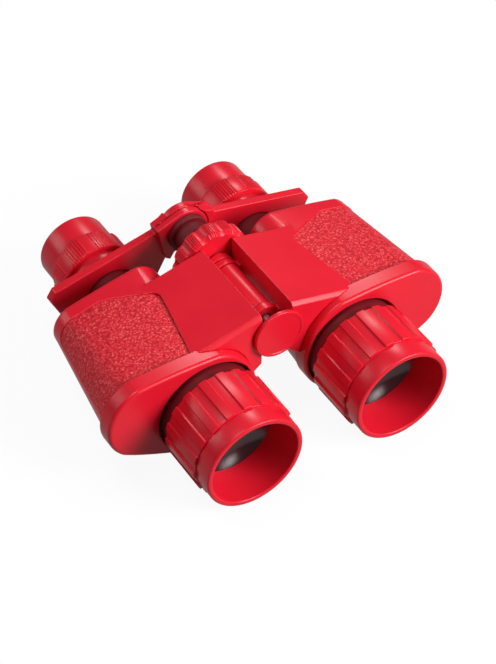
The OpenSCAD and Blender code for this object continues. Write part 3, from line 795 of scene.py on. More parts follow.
# %% [markdown]
# ### Recess
# The grip lies in a shallow recess with rounded corners. A slightly smaller copy of the housing is taken out of an
# upright prism over the panel's plan, and what is left of the prism then cuts the shell to an even depth.

# %% Recess for the grip
RECESS, PANEL_SINK, PANEL_GAP = 0.9 * MM, 0.3 * MM, 0.1 * MM
PANEL_FRONT_IN, PANEL_REAR_IN = 31.9 * MM, 25.8 * MM
PANEL_BORDER_IN, PANEL_BORDER_OUT = 16.2 * MM, 6.3 * MM
PANEL_CORNER_R, PANEL_EDGE, PANEL_AHEAD = 4.6 * MM, 4 * MM, 20 * MM


def panel_prism(name, inset):
    """An upright prism over the panel's plan."""
    slope = (PANEL_FRONT_IN - PANEL_REAR_IN) / (Y_REAR - PANEL_BORDER_IN - Y_HOUSING)
    corners = [
        (PANEL_FRONT_IN + slope * PANEL_AHEAD, Y_HOUSING - PANEL_AHEAD),
        (PANEL_REAR_IN, Y_REAR - PANEL_BORDER_IN),
        ((PANEL_REAR_IN + REAR_OUT) / 2, Y_REAR - PANEL_BORDER_OUT),
        (2 * REAR_OUT, Y_REAR - PANEL_BORDER_OUT),
        (2 * REAR_OUT, Y_HOUSING - PANEL_AHEAD),
    ]
    corners = shifted(corners, inset)
    radii = [0, PANEL_CORNER_R, PANEL_CORNER_R, 0, 0]
    plan = rounded([(x, y, r) for (x, y), r in zip(corners, radii)], steps=8)
    low = PANEL_EDGE + inset
    block = prism(name, [(x, y, low) for x, y in plan], (0, 0, 2 * PLATE_Z))
    take_up(block)
    bpy.ops.object.mode_set(mode="EDIT")
    rear = Y_REAR - PANEL_BORDER_OUT - inset
    pick(block, lambda co: abs(co.y - rear) < SNUG and abs(co.z - low) < SNUG)
    bpy.ops.mesh.bevel(offset=PANEL_CORNER_R - inset, segments=8, affect="EDGES")
    close_up()
    return block


# %% [markdown]
# ### Knuckles
# The left half turns on the pin with two rings, the knuckles, and the right half holds the tube in a saddle and the
# spindle in a bearing. Each is a turned ring, or a bar cut out round the tube, joined to the channel's wall by a rib.

# %% Knuckles of the hinge
KNUCKLE_R, HINGE_TUBE_R, PIN_R, SPINDLE_R = 5.5 * MM, 5.1 * MM, 2.2 * MM, 2.9 * MM
KNUCKLE_LEN, KNUCKLE_EDGE, KNUCKLE_STEPS, SIDE_GAP = 2.8 * MM, 0.4 * MM, 64, 0.3 * MM
RIB_HALF = 3 * MM
Y_FRONT_KNUCKLE = front("hinge_tube") - SIDE_GAP - KNUCKLE_LEN
Y_REAR_KNUCKLE = back("hinge_tube") + SIDE_GAP
Y_BEARING = Y_WEB_REAR - KNUCKLE_LEN - SIDE_GAP


def rib(y0, y1, start):
    """A bar from the hinge to the channel's wall."""
    outline = [
        (start, -RIB_HALF),
        (wall_x(-RIB_HALF) + WALL / 2, -RIB_HALF),
        (wall_x(RIB_HALF) + WALL / 2, RIB_HALF),
        (start, RIB_HALF),
    ]
    return along_y("rib", outline, y0, y1)


def add_knuckle(housing, y0, y1, bore):
    """Joins a ring round the hinge's axis and its rib to a housing."""
    ring = turned(
        "knuckle",
        rounded([(bore, y0, 0), (KNUCKLE_R, y0, KNUCKLE_EDGE), (KNUCKLE_R, y1, KNUCKLE_EDGE), (bore, y1, 0)]),
        (0, 0),
        steps=KNUCKLE_STEPS,
    )
    combine(ring, rib(y0, y1, (bore + KNUCKLE_R) / 2), "UNION")
    combine(housing, ring, "UNION")


# %% [markdown]
# ### The two housings
# Both housings start as the same solid, because they differ only in what holds the hinge. So one is made and copied
# in the left half's frame, each gets its own knuckles, and the right one is mirrored last.

# %% Build the housings
EYE_TUBE_R = 10.2 * MM
SOFT_EDGE = 0.35 * MM
COVER_ROOM = 5 * MM


def housing(name):
    """The shell with its web, its guide for the eyepiece and its recess for the grip."""
    rings = housing_rings(0)
    tunnel = EYE_TUBE_R + SNUG
    rings += [hole_ring(tunnel, Y_REAR), hole_ring(tunnel, Y_HOUSING), rings[0]]
    shell = loft(name, rings, fill_ends=False)
    web = web_prism()
    cover = loft("cover", cover_rings(2 * SNUG, Y_COVER - COVER_ROOM, Y_HOUSING, COVER_ROUND))
    combine(web, cover, "DIFFERENCE")
    combine(web, rod("tunnel", tunnel, (TUBE_OUT, TUBE_LOW), Y_COVER, Y_REAR), "DIFFERENCE")
    combine(shell, web, "UNION")
    recess = panel_prism("recess", 0)
    combine(recess, loft("core", housing_rings(-RECESS)), "DIFFERENCE")
    combine(shell, recess, "DIFFERENCE")
    return shell


left_shell = housing("left_shell")
right_shell = copied(left_shell, "right_shell")
add_knuckle(left_shell, Y_FRONT_KNUCKLE, Y_FRONT_KNUCKLE + KNUCKLE_LEN, PIN_R + SNUG)
add_knuckle(left_shell, Y_REAR_KNUCKLE, Y_REAR_KNUCKLE + KNUCKLE_LEN, PIN_R + SNUG)
saddle = rib(front("hinge_tube"), back("hinge_tube"), PIN_R)
combine(saddle, rod("tube", HINGE_TUBE_R + SNUG, (0, 0), Y_WEB, Y_WHEEL), "DIFFERENCE")
combine(right_shell, saddle, "UNION")
add_knuckle(right_shell, Y_BEARING, Y_WEB_REAR, SPINDLE_R + SNUG)
for shell, side in ((left_shell, "left"), (right_shell, "right")):
    soften(shell, SOFT_EDGE)
    fold_down(shell)
    rest_on_floor(shell)
    if side == "right":
        mirror(shell)
    dress(shell, side + "_half", "red_shell", side + "_housing", flat_faces=True)

# %% [markdown]
# ## Front covers
# The cover is the flange in front of the housing. It has the housing's outline, a little larger, a rounded front edge
# and a round hole for the barrel. One loft gives the outside, the front face and the hole in a single closed skin.

# %% Build the front covers
BARREL_R, BARREL_IN = 18.3 * MM, 17.25 * MM
COVER_GAP, GAP_EDGE, GAP_DEPTH = 1.1 * MM, 0.4 * MM, 5 * MM

rings = cover_rings(0, Y_COVER, Y_HOUSING, COVER_ROUND)
hole = BARREL_R + SNUG
mouth = hole + COVER_GAP
rings += [hole_ring(mouth + GAP_EDGE, Y_COVER), hole_ring(mouth, Y_COVER + GAP_EDGE)]
rings += [hole_ring(mouth, Y_COVER + GAP_DEPTH), hole_ring(hole, Y_COVER + GAP_DEPTH)]
rings += [hole_ring(hole, Y_HOUSING), rings[0]]
left_flange = loft("left_flange", rings, fill_ends=False)
fold_down(left_flange)
rest_on_floor(left_flange)
dress_pair(left_flange, "half", "red_shell", "front_cover", flat_faces=True)

# %% [markdown]
# ## Grip panels
# The grip is a thin skin that follows the housing's curve just below its surface. It is the overlap of an upright
# prism over its plan with the housing's own form, drawn a little smaller.

# %% Build the grips
left_grip = panel_prism("left_grip", PANEL_GAP)
combine(left_grip, loft("under", housing_rings(-PANEL_SINK)), "INTERSECT")
combine(left_grip, loft("core", housing_rings(-RECESS)), "DIFFERENCE")
fold_down(left_grip)
dress_pair(left_grip, "half", "red_grain", "grip_panel", angle=30)

# %% [markdown]
# ## Objectives
# Barrel, ring, bezel and lens are turned pieces on the tube's axis, so each is a profile that is spun. The fluted ring
# is spun with many steps, and the points of every other stretch of its rim are then drawn in to make the flutes.

# %% Barrel, bezel and lens
BEZEL_R, MOUTH_R, HOOD_END_R, SPIGOT_R = 19.1 * MM, 17.1 * MM, 15.9 * MM, 17.2 * MM
LIP_OUT, LIP_IN, TURNED_EDGE = 0.7 * MM, 0.6 * MM, 0.3 * MM
Y_LENS, LENS_EDGE_T, LENS_BULGE = Y_RIM + 15.2 * MM, 3 * MM, 1.8 * MM
LENS_REST_SHARE = 0.98

left_barrel = turned(
    "left_barrel",
    [(BARREL_IN, Y_RING), (BARREL_R, Y_RING), (BARREL_R, Y_HOUSING), (BARREL_IN, Y_HOUSING)],
    TUBE_AXIS,
)
# The barrel shows only as its neck, deep in the groove between the ring and the cover, so it takes the dark red as
# painted shade.
dress_pair(left_barrel, "half", "dark_inner", "objective_barrel")

left_rim = turned(
    "left_rim",
    rounded([
        (MOUTH_R, Y_RIM, LIP_IN), (BEZEL_R, Y_RIM, LIP_OUT), (BEZEL_R, Y_RING, TURNED_EDGE),
        (SPIGOT_R, Y_RING, 0), (SPIGOT_R, Y_LENS, 0), (HOOD_END_R, Y_LENS, 0),
    ]),
    TUBE_AXIS,
    steps=128,
)
dress_pair(left_rim, "half", "red_shell", "objective_bezel")


def dome(radius, y, rise, steps=10):
    """Points of a shallow dome from its middle to its rim; a negative rise bulges towards the front."""
    ball = (radius**2 + rise**2) / (2 * abs(rise))
    span = asin(radius / ball)
    lift = rise / abs(rise)
    return [
        (ball * sin(span * k / steps), y + lift * ball * (cos(span * k / steps) - cos(span))) for k in range(steps + 1)
    ]


left_front_lens = turned(
    "left_front_lens",
    dome(HOOD_END_R * LENS_REST_SHARE, Y_LENS, -LENS_BULGE)
    + [(SPIGOT_R, Y_LENS), (SPIGOT_R, Y_LENS + LENS_EDGE_T), (0, Y_LENS + LENS_EDGE_T)],
    TUBE_AXIS,
    closed=False,
)
dress_pair(left_front_lens, "half", "lens", "objective_lens", angle=40)

# %% [markdown]
# ### Fluted ring
# The ring on the barrel has broad flats with shallow flutes between them, for the fingers. Cutting eighteen grooves
# would leave many slivers. A fine spin already has a point at each place, so the points of a flute only move inwards.

# %% Fluted ring
RING_R, FLUTES, FLUTE_STEPS, FLUTE_DEPTH = 20.2 * MM, 18, 16, 0.7 * MM
FLUTE_SHARE = 0.48


def place_on_rim(obj, axis, repeats, steps, phase, scale_at, outside):
    """Scales the rim's points by scale_at(k) for each step k of a pattern that repeats round the axis."""
    pitch = tau / (repeats * steps)

    def step_of(co):
        return round((atan2(co.z - axis[1], co.x - axis[0]) - phase) / pitch) % steps

    def on_rim(co):
        return hypot(co.x - axis[0], co.z - axis[1]) > outside

    take_up(obj)
    bpy.ops.object.mode_set(mode="EDIT")
    for k in range(steps):
        scale = scale_at(k)
        if scale != 1:
            pick(obj, lambda co, k=k: on_rim(co) and step_of(co) == k)
            bpy.ops.transform.resize(value=(scale, 1, scale), center_override=(axis[0], 0, axis[1]))
    close_up()


left_fluted_ring = turned(
    "left_fluted_ring",
    rounded([
        (BARREL_R + SNUG, Y_RING, 0), (RING_R, Y_RING, TURNED_EDGE), (RING_R, Y_NECK, TURNED_EDGE),
        (BARREL_R + SNUG, Y_NECK, 0),
    ], steps=3),
    TUBE_AXIS,
    steps=FLUTES * FLUTE_STEPS,
)
place_on_rim(
    left_fluted_ring, TUBE_AXIS, FLUTES, FLUTE_STEPS, 0,
    lambda k: 1 - FLUTE_DEPTH / RING_R if k < FLUTE_STEPS * FLUTE_SHARE else 1, RING_R - 2 * TURNED_EDGE,
)
dress_pair(left_fluted_ring, "half", "red_shell", "objective_ring", angle=30)

# %% [markdown]
# ## Bridge and eyepieces
# Two flat arms hang on one hub behind the wheel and carry the eyepieces. An arm is an outline that is extruded, with a
# thicker root and one knuckle; the right arm has the front knuckle and the left arm the rear one. The eyepieces are
# turned, and their rings carry groups of fine ribs for the fingers.

# %% Bridge arms
ARM_T, ARM_OUT, ARM_TOP, ARM_LOW, ARM_CHAMFER = 3.6 * MM, 56.5 * MM, 4.3 * MM, 12.2 * MM, 3 * MM
SHOULDER_Z, SHOULDER_OUT, HUB_R, SLEEVE_R = 7.2 * MM, 10.8 * MM, 9.1 * MM, 5.5 * MM
Y_ARM = Y_ARM_REAR - ARM_T
Y_SPLIT = (Y_HUB + Y_ARM_REAR) / 2
ARM_SOFT, OVERSHOOT = 0.5 * MM, 1 * MM


def bridge_arm(name, y0, y1):
    """An arm in the left half's frame, whose knuckle fills the layer from y0 to y1."""
    bar = [
        (0, 0), (0, ARM_TOP), (ARM_OUT - ARM_CHAMFER, ARM_TOP), (ARM_OUT, ARM_TOP - ARM_CHAMFER),
        (ARM_OUT - ARM_CHAMFER, TUBE_LOW), (ARM_OUT - 3 * ARM_CHAMFER, TUBE_LOW - ARM_LOW),
        (TUBE_OUT - ARM_LOW, TUBE_LOW - ARM_LOW), (HUB_R, -HUB_R),
    ]
    root = [(0, 0), (0, HUB_R), (SHOULDER_OUT, SHOULDER_Z), (SHOULDER_OUT, -SHOULDER_Z), (HUB_R, -HUB_R)]
    arm = along_y(name, bar, Y_ARM, Y_ARM_REAR)
    combine(arm, along_y("root", root, Y_HUB, Y_ARM_REAR), "UNION")
    combine(arm, rod("hub", HUB_R + SIDE_GAP, (0, 0), Y_HUB - OVERSHOOT, Y_ARM_REAR + OVERSHOOT), "DIFFERENCE")
    knuckle = along_y("knuckle", root, y0, y1)
    combine(knuckle, rod("round", HUB_R, (0, 0), y0, y1), "UNION")
    combine(arm, knuckle, "UNION")
    combine(arm, rod("bore", SLEEVE_R + SNUG, (0, 0), Y_HUB - OVERSHOOT, Y_ARM_REAR + OVERSHOOT), "DIFFERENCE")
    seat = rod("seat", EYE_TUBE_R + SNUG, (TUBE_OUT, TUBE_LOW), Y_ARM - OVERSHOOT, Y_ARM_REAR + OVERSHOOT)
    combine(arm, seat, "DIFFERENCE")
    soften(arm, ARM_SOFT)
    fold_down(arm)
    return arm


left_arm = bridge_arm("left_arm", Y_SPLIT + SIDE_GAP / 2, Y_ARM_REAR)
dress(left_arm, "left_bridge", "red_shell", "left_bridge_arm", flat_faces=True)
right_arm = mirror(bridge_arm("right_arm", Y_HUB, Y_SPLIT - SIDE_GAP / 2))
dress(right_arm, "right_bridge", "red_shell", "right_bridge_arm", flat_faces=True)

# %% [markdown]
# ### Eyepieces
# An eyepiece is a tube that slides in the housing, with a thicker neck behind the arm. A ribbed ring turns on the
# neck, and the eyecup is fixed to the ring. The tube is glossy behind the arm; in front of it, where the arm's shade
# falls, it takes the dull dark red as painted shade.

# %% Eyepiece tubes and eyecups
EYE_TUBE_IN, EYE_NECK_R, CELL_R, CUP_SHELF = 9 * MM, 12.5 * MM, 9.95 * MM, 1.7 * MM
CUP_R, CUP_MOUTH_R, CUP_ROUND = 13.6 * MM, 12.1 * MM, 0.7 * MM
CUP_BORE, CUP_BORE_LEN = 10.25 * MM, 4.6 * MM
Y_EYE_TUBE = front("left_eyepiece_tube")
Y_NECK_END = Y_CUP - CUP_SHELF
Y_SHELF = Y_ARM_REAR + WALL

left_eye_tube = turned(
    "left_eye_tube",
    rounded([
        (EYE_TUBE_IN, Y_EYE_TUBE, 0), (EYE_TUBE_R, Y_EYE_TUBE, TURNED_EDGE), (EYE_TUBE_R, Y_ARM_REAR, 0),
        (EYE_NECK_R, Y_ARM_REAR, TURNED_EDGE), (EYE_NECK_R, Y_NECK_END, 0), (CELL_R + SNUG, Y_NECK_END, 0),
        (CELL_R + SNUG, Y_SHELF, 0), (EYE_TUBE_IN, Y_SHELF, 0),
    ]),
    TUBE_AXIS,
)
for tube in dress_pair(left_eye_tube, "bridge", "red_shell", "eyepiece_tube"):
    # The part in front of the arm lies in the arm's shade, which is painted on it with the dull dark red.
    tube.data.materials.append(inside_and_painted_shade)
    for face in tube.data.polygons:
        if face.center.y < Y_ARM_REAR - WALL:
            face.material_index = 1

left_eye_cup = turned(
    "left_eye_cup",
    rounded([
        (CUP_BORE, Y_CUP, 0), (CUP_R, Y_CUP, TURNED_EDGE), (CUP_R, Y_END, CUP_ROUND),
        (CUP_MOUTH_R, Y_END, CUP_ROUND / 2), (CUP_BORE, Y_CUP + CUP_BORE_LEN, 0),
    ]),
    TUBE_AXIS,
)
dress_pair(left_eye_cup, "dioptre", "red_shell", "eyecup")

# %% [markdown]
# ### Ribbed rings
# The ring round the neck carries groups of fine ribs with plain stretches between the groups. It is made as the fluted
# ring is: a fine spin, whose points are drawn in wherever there is no rib.

# %% Ribbed rings
DIOPTRE_R, RIB_DEPTH = 14.9 * MM, 0.35 * MM
RIB_GROUPS, GROUP_STEPS, RIBS_IN_GROUP = 8, 48, 7
RIB_SHARE, GROOVE_SHARE, RIM_SHARE = 0.66, 0.4, 1.2

left_ribbed_ring = turned(
    "left_ribbed_ring",
    rounded([
        (EYE_NECK_R + SNUG, Y_DIOPTRE, 0), (DIOPTRE_R, Y_DIOPTRE, 2 * TURNED_EDGE),
        (DIOPTRE_R, Y_CUP, 2 * TURNED_EDGE), (CUP_BORE, Y_CUP, 0), (CUP_BORE, Y_NECK_END + SIDE_GAP, 0),
        (EYE_NECK_R + SNUG, Y_NECK_END + SIDE_GAP, 0),
    ], steps=3),
    TUBE_AXIS,
    steps=RIB_GROUPS * GROUP_STEPS,
)


def ribbed(k):
    """Scale of the ring's rim: ribs and grooves by turns in the group, and a plain drawn-in stretch between groups."""
    ribbed_steps = GROUP_STEPS * RIB_SHARE
    if k > ribbed_steps:
        return 1 - RIB_DEPTH / DIOPTRE_R
    rib_pitch = ribbed_steps / RIBS_IN_GROUP
    return 1 - RIB_DEPTH / DIOPTRE_R if k % rib_pitch < GROOVE_SHARE * rib_pitch else 1


place_on_rim(
    left_ribbed_ring, TUBE_AXIS, RIB_GROUPS, GROUP_STEPS, 0, ribbed, DIOPTRE_R - RIM_SHARE * TURNED_EDGE
)
dress_pair(left_ribbed_ring, "dioptre", "red_shell", "dioptre_ring", angle=30)

# %% [markdown]
# ### Eye lenses
# Deep in each eyecup a small lens sits in its cell, which slides in the neck. Both are turned. The lens is flat in
# front, where it rests on the cell's shelf, and a little hollow behind, on the side of the eye.

# %% Eye lenses and their cells
CELL_WALL, EYE_LENS_T, EYE_LENS_HOLLOW, EYE_LENS_SEAT = 1.6 * MM, 2.2 * MM, 0.9 * MM, 3.2 * MM
EYE_LENS_R = CELL_R - CELL_WALL / 2
Y_CELL, Y_CELL_END = front("left_ocular_cell"), back("left_ocular_cell")
Y_SEAT = Y_CELL_END - EYE_LENS_SEAT

left_eye_cell = turned(
    "left_eye_cell",
    rounded([
        (CELL_R - CELL_WALL, Y_CELL, 0), (CELL_R, Y_CELL, 0), (CELL_R, Y_CELL_END, TURNED_EDGE),
        (EYE_LENS_R + SNUG, Y_CELL_END, TURNED_EDGE / 2), (EYE_LENS_R + SNUG, Y_SEAT, 0),
        (CELL_R - CELL_WALL, Y_SEAT, 0),
    ]),
    TUBE_AXIS,
)
dress_pair(left_eye_cell, "ocular", "dark_inner", "ocular_cell")

left_eye_lens = turned(
    "left_eye_lens",
    [(0, Y_SEAT), (EYE_LENS_R, Y_SEAT), (EYE_LENS_R, Y_SEAT + EYE_LENS_T)]
    + dome(EYE_LENS_R * LENS_REST_SHARE, Y_SEAT + EYE_LENS_T, -EYE_LENS_HOLLOW)[::-1],
    TUBE_AXIS,
    closed=False,
)
dress_pair(left_eye_lens, "ocular", "lens", "ocular_lens", angle=40)

# %% [markdown]
# ## Hinge, wheel and hub
# On the hinge's axis lie the cap, the pin in its tube, the focus wheel on its spindle, and the hub that the arms hang
# on. All are turned. The cap has a narrow raised rim round a shallow dish, as a pressed-in plastic disc has.

# %% Hinge
CAP_R, CAP_EDGE, CAP_RIM, CAP_DISH = 9.9 * MM, 0.5 * MM, 1.1 * MM, 0.25 * MM
Y_CAP, Y_CAP_REAR = front("hinge_cap"), back("hinge_cap")
Y_PIN, Y_PIN_END = front("hinge_pin"), back("hinge_pin")
Y_TUBE, Y_TUBE_END = front("hinge_tube"), back("hinge_tube")

hinge_disc = turned(
    "hinge_disc",
    [(0, Y_CAP + CAP_DISH)]
    + rounded([
        (CAP_R - CAP_RIM - CAP_DISH, Y_CAP + CAP_DISH, 0), (CAP_R - CAP_RIM, Y_CAP, 0), (CAP_R, Y_CAP, CAP_EDGE),
        (CAP_R, Y_CAP_REAR, TURNED_EDGE), (PIN_R + SNUG, Y_CAP_REAR, 0), (PIN_R + SNUG, Y_PIN, 0),
    ])
    + [(0, Y_PIN)],
    HINGE_AXIS,
    closed=False,
)
dress(hinge_disc, "right_half", "red_shell", "hinge_cap")

hinge_rod = turned(
    "hinge_rod",
    [
        (0, Y_PIN), (PIN_R, Y_PIN), (PIN_R, Y_PIN_END - TURNED_EDGE), (PIN_R - TURNED_EDGE, Y_PIN_END), (0, Y_PIN_END),
    ],
    HINGE_AXIS,
    steps=48,
    closed=False,
)
dress(hinge_rod, "right_half", "pin_steel", "hinge_pin")

hinge_barrel = turned(
    "hinge_barrel",
    rounded([
        (PIN_R + SNUG, Y_TUBE, 0), (HINGE_TUBE_R, Y_TUBE, TURNED_EDGE), (HINGE_TUBE_R, Y_TUBE_END, TURNED_EDGE),
        (PIN_R + SNUG, Y_TUBE_END, 0),
    ]),
    HINGE_AXIS,
)
dress(hinge_barrel, "right_half", "red_shell", "hinge_tube")

# %% [markdown]
# ### Focus wheel
# A finger turns the wheel by its lobes, which carry fine ribs. The wheel is spun first. Its rim is then drawn in
# between the lobes along a round scallop, and on each lobe every other stretch goes in a little to leave the ribs.

# %% Focus wheel and spindle
WHEEL_R, WHEEL_EDGE, LOBES, LOBE_STEPS = 14.5 * MM, 1.3 * MM, 12, 30
SCALLOP_R, SCALLOP_DEPTH = 3.4 * MM, 0.9 * MM
WHEEL_RIBS, WHEEL_RIB_DEPTH, WHEEL_RIB_SHARE = 5, 0.3 * MM, 0.5
DISH_R, DISH_DEPTH, BOSS_R = 11.5 * MM, 0.8 * MM, 5 * MM
WHEEL_PHASE = radians(-11)

wheel = turned(
    "wheel",
    rounded([
        (SPINDLE_R + SNUG, Y_WHEEL, 0), (WHEEL_R - WHEEL_EDGE, Y_WHEEL, TURNED_EDGE),
        (WHEEL_R, Y_WHEEL + WHEEL_EDGE, TURNED_EDGE), (WHEEL_R, Y_WHEEL_REAR, 2 * TURNED_EDGE),
        (DISH_R, Y_WHEEL_REAR, TURNED_EDGE), (DISH_R - DISH_DEPTH, Y_WHEEL_REAR - DISH_DEPTH, 0),
        (BOSS_R, Y_WHEEL_REAR - DISH_DEPTH, 0), (BOSS_R, Y_WHEEL_REAR, TURNED_EDGE),
        (SPINDLE_R + SNUG, Y_WHEEL_REAR, 0),
    ], steps=3),
    HINGE_AXIS,
    steps=LOBES * LOBE_STEPS,
)


def lobed(k):
    """Scale of the wheel's rim: a round scallop between lobes, and ribs on each lobe."""
    angle = tau / LOBES * (k / LOBE_STEPS - 1 / 2)
    from_gap = abs(abs(angle) - pi / LOBES)
    centre = WHEEL_R + SCALLOP_R - SCALLOP_DEPTH
    inside = SCALLOP_R**2 - (centre * sin(from_gap)) ** 2
    radius = min(WHEEL_R, centre * cos(from_gap) - sqrt(inside)) if inside > 0 else WHEEL_R
    rib_span = tau / LOBES * WHEEL_RIB_SHARE
    if radius == WHEEL_R and abs(angle) < rib_span / 2:
        across = (angle / rib_span + 1 / 2) * (2 * WHEEL_RIBS + 1)
        radius -= WHEEL_RIB_DEPTH if int(across) % 2 else 0
    return radius / WHEEL_R


place_on_rim(wheel, HINGE_AXIS, LOBES, LOBE_STEPS, WHEEL_PHASE, lobed, WHEEL_R - WHEEL_EDGE - TURNED_EDGE / 2)
dress(wheel, "focus", "red_shell", "focus_wheel", angle=30)

Y_SPINDLE, Y_SPINDLE_END = front("focus_spindle"), back("focus_spindle")
spindle = turned(
    "spindle",
    [
        (0, Y_SPINDLE), (SPINDLE_R - TURNED_EDGE, Y_SPINDLE), (SPINDLE_R, Y_SPINDLE + TURNED_EDGE),
        (SPINDLE_R, Y_SPINDLE_END - TURNED_EDGE), (SPINDLE_R - TURNED_EDGE, Y_SPINDLE_END), (0, Y_SPINDLE_END),
    ],
    HINGE_AXIS,
    steps=64,
    closed=False,
)
dress(spindle, "focus", "pin_steel", "focus_spindle")

# %% [markdown]
# ### Hub
# The hub is a sleeve with a stepped nose, and both arms sit on the sleeve behind the nose. A small cap closes it at
# the rear. The nose lies in the wheel's shade, which is painted on it with the dull dark red.

# %% Hub and its cap
NOSE_R, NOSE_TIP_R, NOSE_LEN = 7.9 * MM, 6.4 * MM, 2.4 * MM
Y_NOSE_TIP, Y_HUB_END = front("bridge_hub"), back("bridge_hub")
Y_NOSE = Y_HUB - NOSE_LEN
HUB_CAP_R = 6 * MM
Y_BUTTON, Y_BUTTON_END = front("hub_cap"), back("hub_cap")

hub_nose = turned(
    "hub_nose",
    rounded([
        (SPINDLE_R + SNUG, Y_NOSE_TIP, 0), (NOSE_TIP_R, Y_NOSE_TIP, 2 * TURNED_EDGE), (NOSE_TIP_R, Y_NOSE, 0),
        (NOSE_R, Y_NOSE, 2 * TURNED_EDGE), (NOSE_R, Y_HUB, 0), (SLEEVE_R, Y_HUB, 0), (SLEEVE_R, Y_HUB_END, 0),
        (SPINDLE_R + SNUG, Y_HUB_END, 0),
    ]),
    HINGE_AXIS,
)
# The nose takes the dark red as painted shade.
dress(hub_nose, "right_bridge", "dark_inner", "bridge_hub")

hub_button = turned(
    "hub_button",
    [(0, Y_BUTTON_END)] + rounded([
        (HUB_CAP_R - TURNED_EDGE, Y_BUTTON_END, 0), (HUB_CAP_R, Y_BUTTON_END - TURNED_EDGE, 0),
        (HUB_CAP_R, Y_BUTTON, 0),
    ]) + [(0, Y_BUTTON)],
    HINGE_AXIS,
    closed=False,
)
dress(hub_button, "right_bridge", "red_shell", "hub_cap")

# %% [markdown]
# ## Nodes that stay
# The rings behind the front lenses are hidden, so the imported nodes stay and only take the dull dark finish.

# %% Finish the nodes that stay
for side in ("left", "right"):
    node = frame["nodes"][side + "_lens_retainer"]
    node.data.materials.clear()
    node.data.materials.append(inside_and_painted_shade)
print("kept nodes: the two lens retainers")

# %% [markdown]
# ## Floor
# The photograph is a product shot on white. A white floor under lamps would turn grey at its edges, so this floor is
# nearly clear to the camera, and the white world shows through it. The little white paint that is left in it takes a
# faint shadow. Glossy plastic still mirrors it as pale paper, and it throws only a little light up at the object.

# %% Floor
FLOOR_SIZE = 4.0
PAPER_WHITE, PAPER_GREY = "#ffffff", "#8a8a8a"
CLEAR_SHARE, MIRRORED_WHITE = 0.93, 0.46
clear_selection()
bpy.ops.mesh.primitive_plane_add(size=FLOOR_SIZE)
floor = bpy.context.object
floor.name = "floor"


def add_rays(owner, kinds):
    """Adds a socket that is 1 for the named kinds of ray and 0 for all others."""
    path = add_node(owner, "ShaderNodeLightPath")
    total = path.outputs[kinds[0]]
    for kind in kinds[1:]:
        total = add_node(
            owner, "ShaderNodeMath", links={0: total, 1: path.outputs[kind]}, operation="MAXIMUM"
        ).outputs["Value"]
    return total


def studio_white(name):
    """Paper floor: clear with a faint shadow where it is seen, white where it is mirrored, dull to other light."""
    material = new_material(name)
    paper = add_node(material, "ShaderNodeBsdfDiffuse", {"Color": linear(PAPER_GREY)})
    white = add_node(material, "ShaderNodeBsdfDiffuse", {"Color": linear(PAPER_WHITE)})
    clear = add_node(material, "ShaderNodeBsdfTransparent")
    glow = add_node(material, "ShaderNodeEmission", {"Strength": MIRRORED_WHITE})
    looked_at = add_node(
        material, "ShaderNodeMixShader", {"Fac": CLEAR_SHARE}, {1: white.outputs["BSDF"], 2: clear.outputs["BSDF"]}
    )
    mirrored = add_node(
        material, "ShaderNodeMixShader", links={
            "Fac": add_rays(material, ["Is Glossy Ray"]), 1: paper.outputs["BSDF"], 2: glow.outputs["Emission"]
        }
    )
    shader = add_node(
        material, "ShaderNodeMixShader", links={
            "Fac": add_rays(material, ["Is Camera Ray", "Is Transmission Ray", "Is Shadow Ray"]),
            1: mirrored.outputs["Shader"], 2: looked_at.outputs["Shader"],
        }
    )
    add_node(material, "ShaderNodeOutputMaterial", links={"Surface": shader.outputs["Shader"]})
    return material


floor.data.materials.append(studio_white("white studio paper"))
print("floor is", FLOOR_SIZE, "m wide")

# %% [markdown]
# ## World and lamps
# The world is white where it is looked at and a weak fill elsewhere. A broad lamp in front on the right gives the main
# light and the soft spots on the lenses. Part of it, the key, isn't mirrored, so that flat faces don't flare when they
# are seen at a low angle. Three weaker lamps behind, above and on the left draw the highlights along the round edges.

# %% World and lamps
WORLD_FILL = 0.1
LAMP_AIM = Vector((0, 0, 30 * MM))
KEY_PLACE = (0.54, -0.78, 0.55)
world = bpy.data.worlds.new("studio")
bpy.context.scene.world = world
world.use_nodes = True
backdrop = add_rays(world, ["Is Camera Ray", "Is Transmission Ray"])
strength = add_node(world, "ShaderNodeMapRange", {"To Min": WORLD_FILL, "To Max": 1.0}, {"Value": backdrop})
background = world.node_tree.nodes["Background"]
background.inputs["Color"].default_value = linear(PAPER_WHITE)
world.node_tree.links.new(strength.outputs["Result"], background.inputs["Strength"])


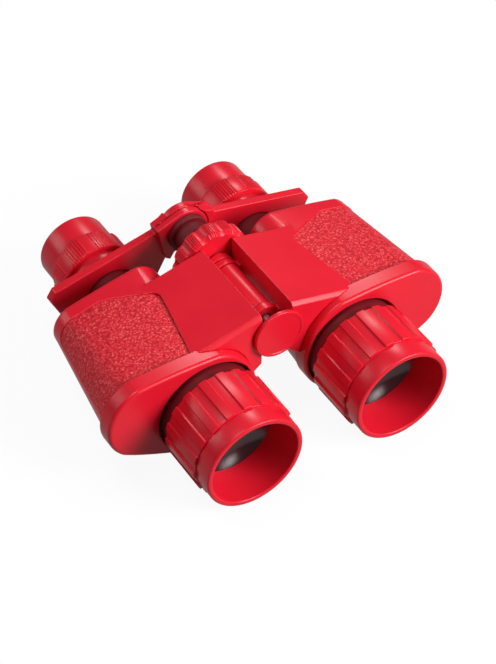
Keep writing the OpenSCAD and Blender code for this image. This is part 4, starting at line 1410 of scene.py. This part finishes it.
def lamp(name, place, size, power, mirrored=True):
    """A square soft lamp, with its size in metres and its power in watts, that points at the middle of the object."""
    clear_selection()
    bpy.ops.object.light_add(type="AREA", location=place)
    light = bpy.context.object
    light.name = name
    light.data.size = size
    light.data.energy = power
    light.visible_glossy = mirrored
    light.rotation_euler = (LAMP_AIM - Vector(place)).to_track_quat("-Z", "Y").to_euler()
    print(name, "lamp has", power, "W and is", size, "m wide")


lamp("key", KEY_PLACE, 0.6, 3.6, mirrored=False)
lamp("glint", KEY_PLACE, 0.55, 12.0)
lamp("behind", (0.44, 0.62, 0.72), 0.17, 1.6)
lamp("above", (-0.3, 0.1, 0.95), 0.35, 3.0)
lamp("left", (-0.55, 0.6, 0.4), 0.35, 1.2)

# %% [markdown]
# ## Camera
# The camera stands where the photograph was taken from. Its angles, distance and focal length were fitted to the round
# rims, the hinge and the edges of the plates, whose places in the photograph and on the object are both known.

# %% Camera
AZIMUTH, ELEVATION, ROLL = radians(-32.69), radians(44.47), radians(0.86)
DISTANCE, SHIFT_X, SHIFT_Y = 768.5 * MM, -28.5 * MM, 33.6 * MM
LENS, SENSOR = 120.85, 36.0

aim = Vector((0, Y_RIM, TUBE_Z))
away = Vector((sin(AZIMUTH) * cos(ELEVATION), -cos(AZIMUTH) * cos(ELEVATION), sin(ELEVATION)))
level = Vector((cos(AZIMUTH), sin(AZIMUTH), 0))
upward = away.cross(level)
right = level * cos(ROLL) + upward * sin(ROLL)
top = upward * cos(ROLL) - level * sin(ROLL)
eye = aim + away * DISTANCE + right * SHIFT_X + top * SHIFT_Y
clear_selection()
bpy.ops.object.camera_add()
camera = bpy.context.object
camera.name = "camera"
camera.matrix_world = Matrix((
    (right.x, top.x, away.x, eye.x),
    (right.y, top.y, away.y, eye.y),
    (right.z, top.z, away.z, eye.z),
    (0, 0, 0, 1),
))
camera.data.lens = LENS
camera.data.sensor_width = SENSOR
camera.data.sensor_fit = "AUTO"
bpy.context.scene.camera = camera
bpy.context.scene.view_settings.view_transform = "Standard"
print("camera stands", round(eye.length, 3), "m from the origin")
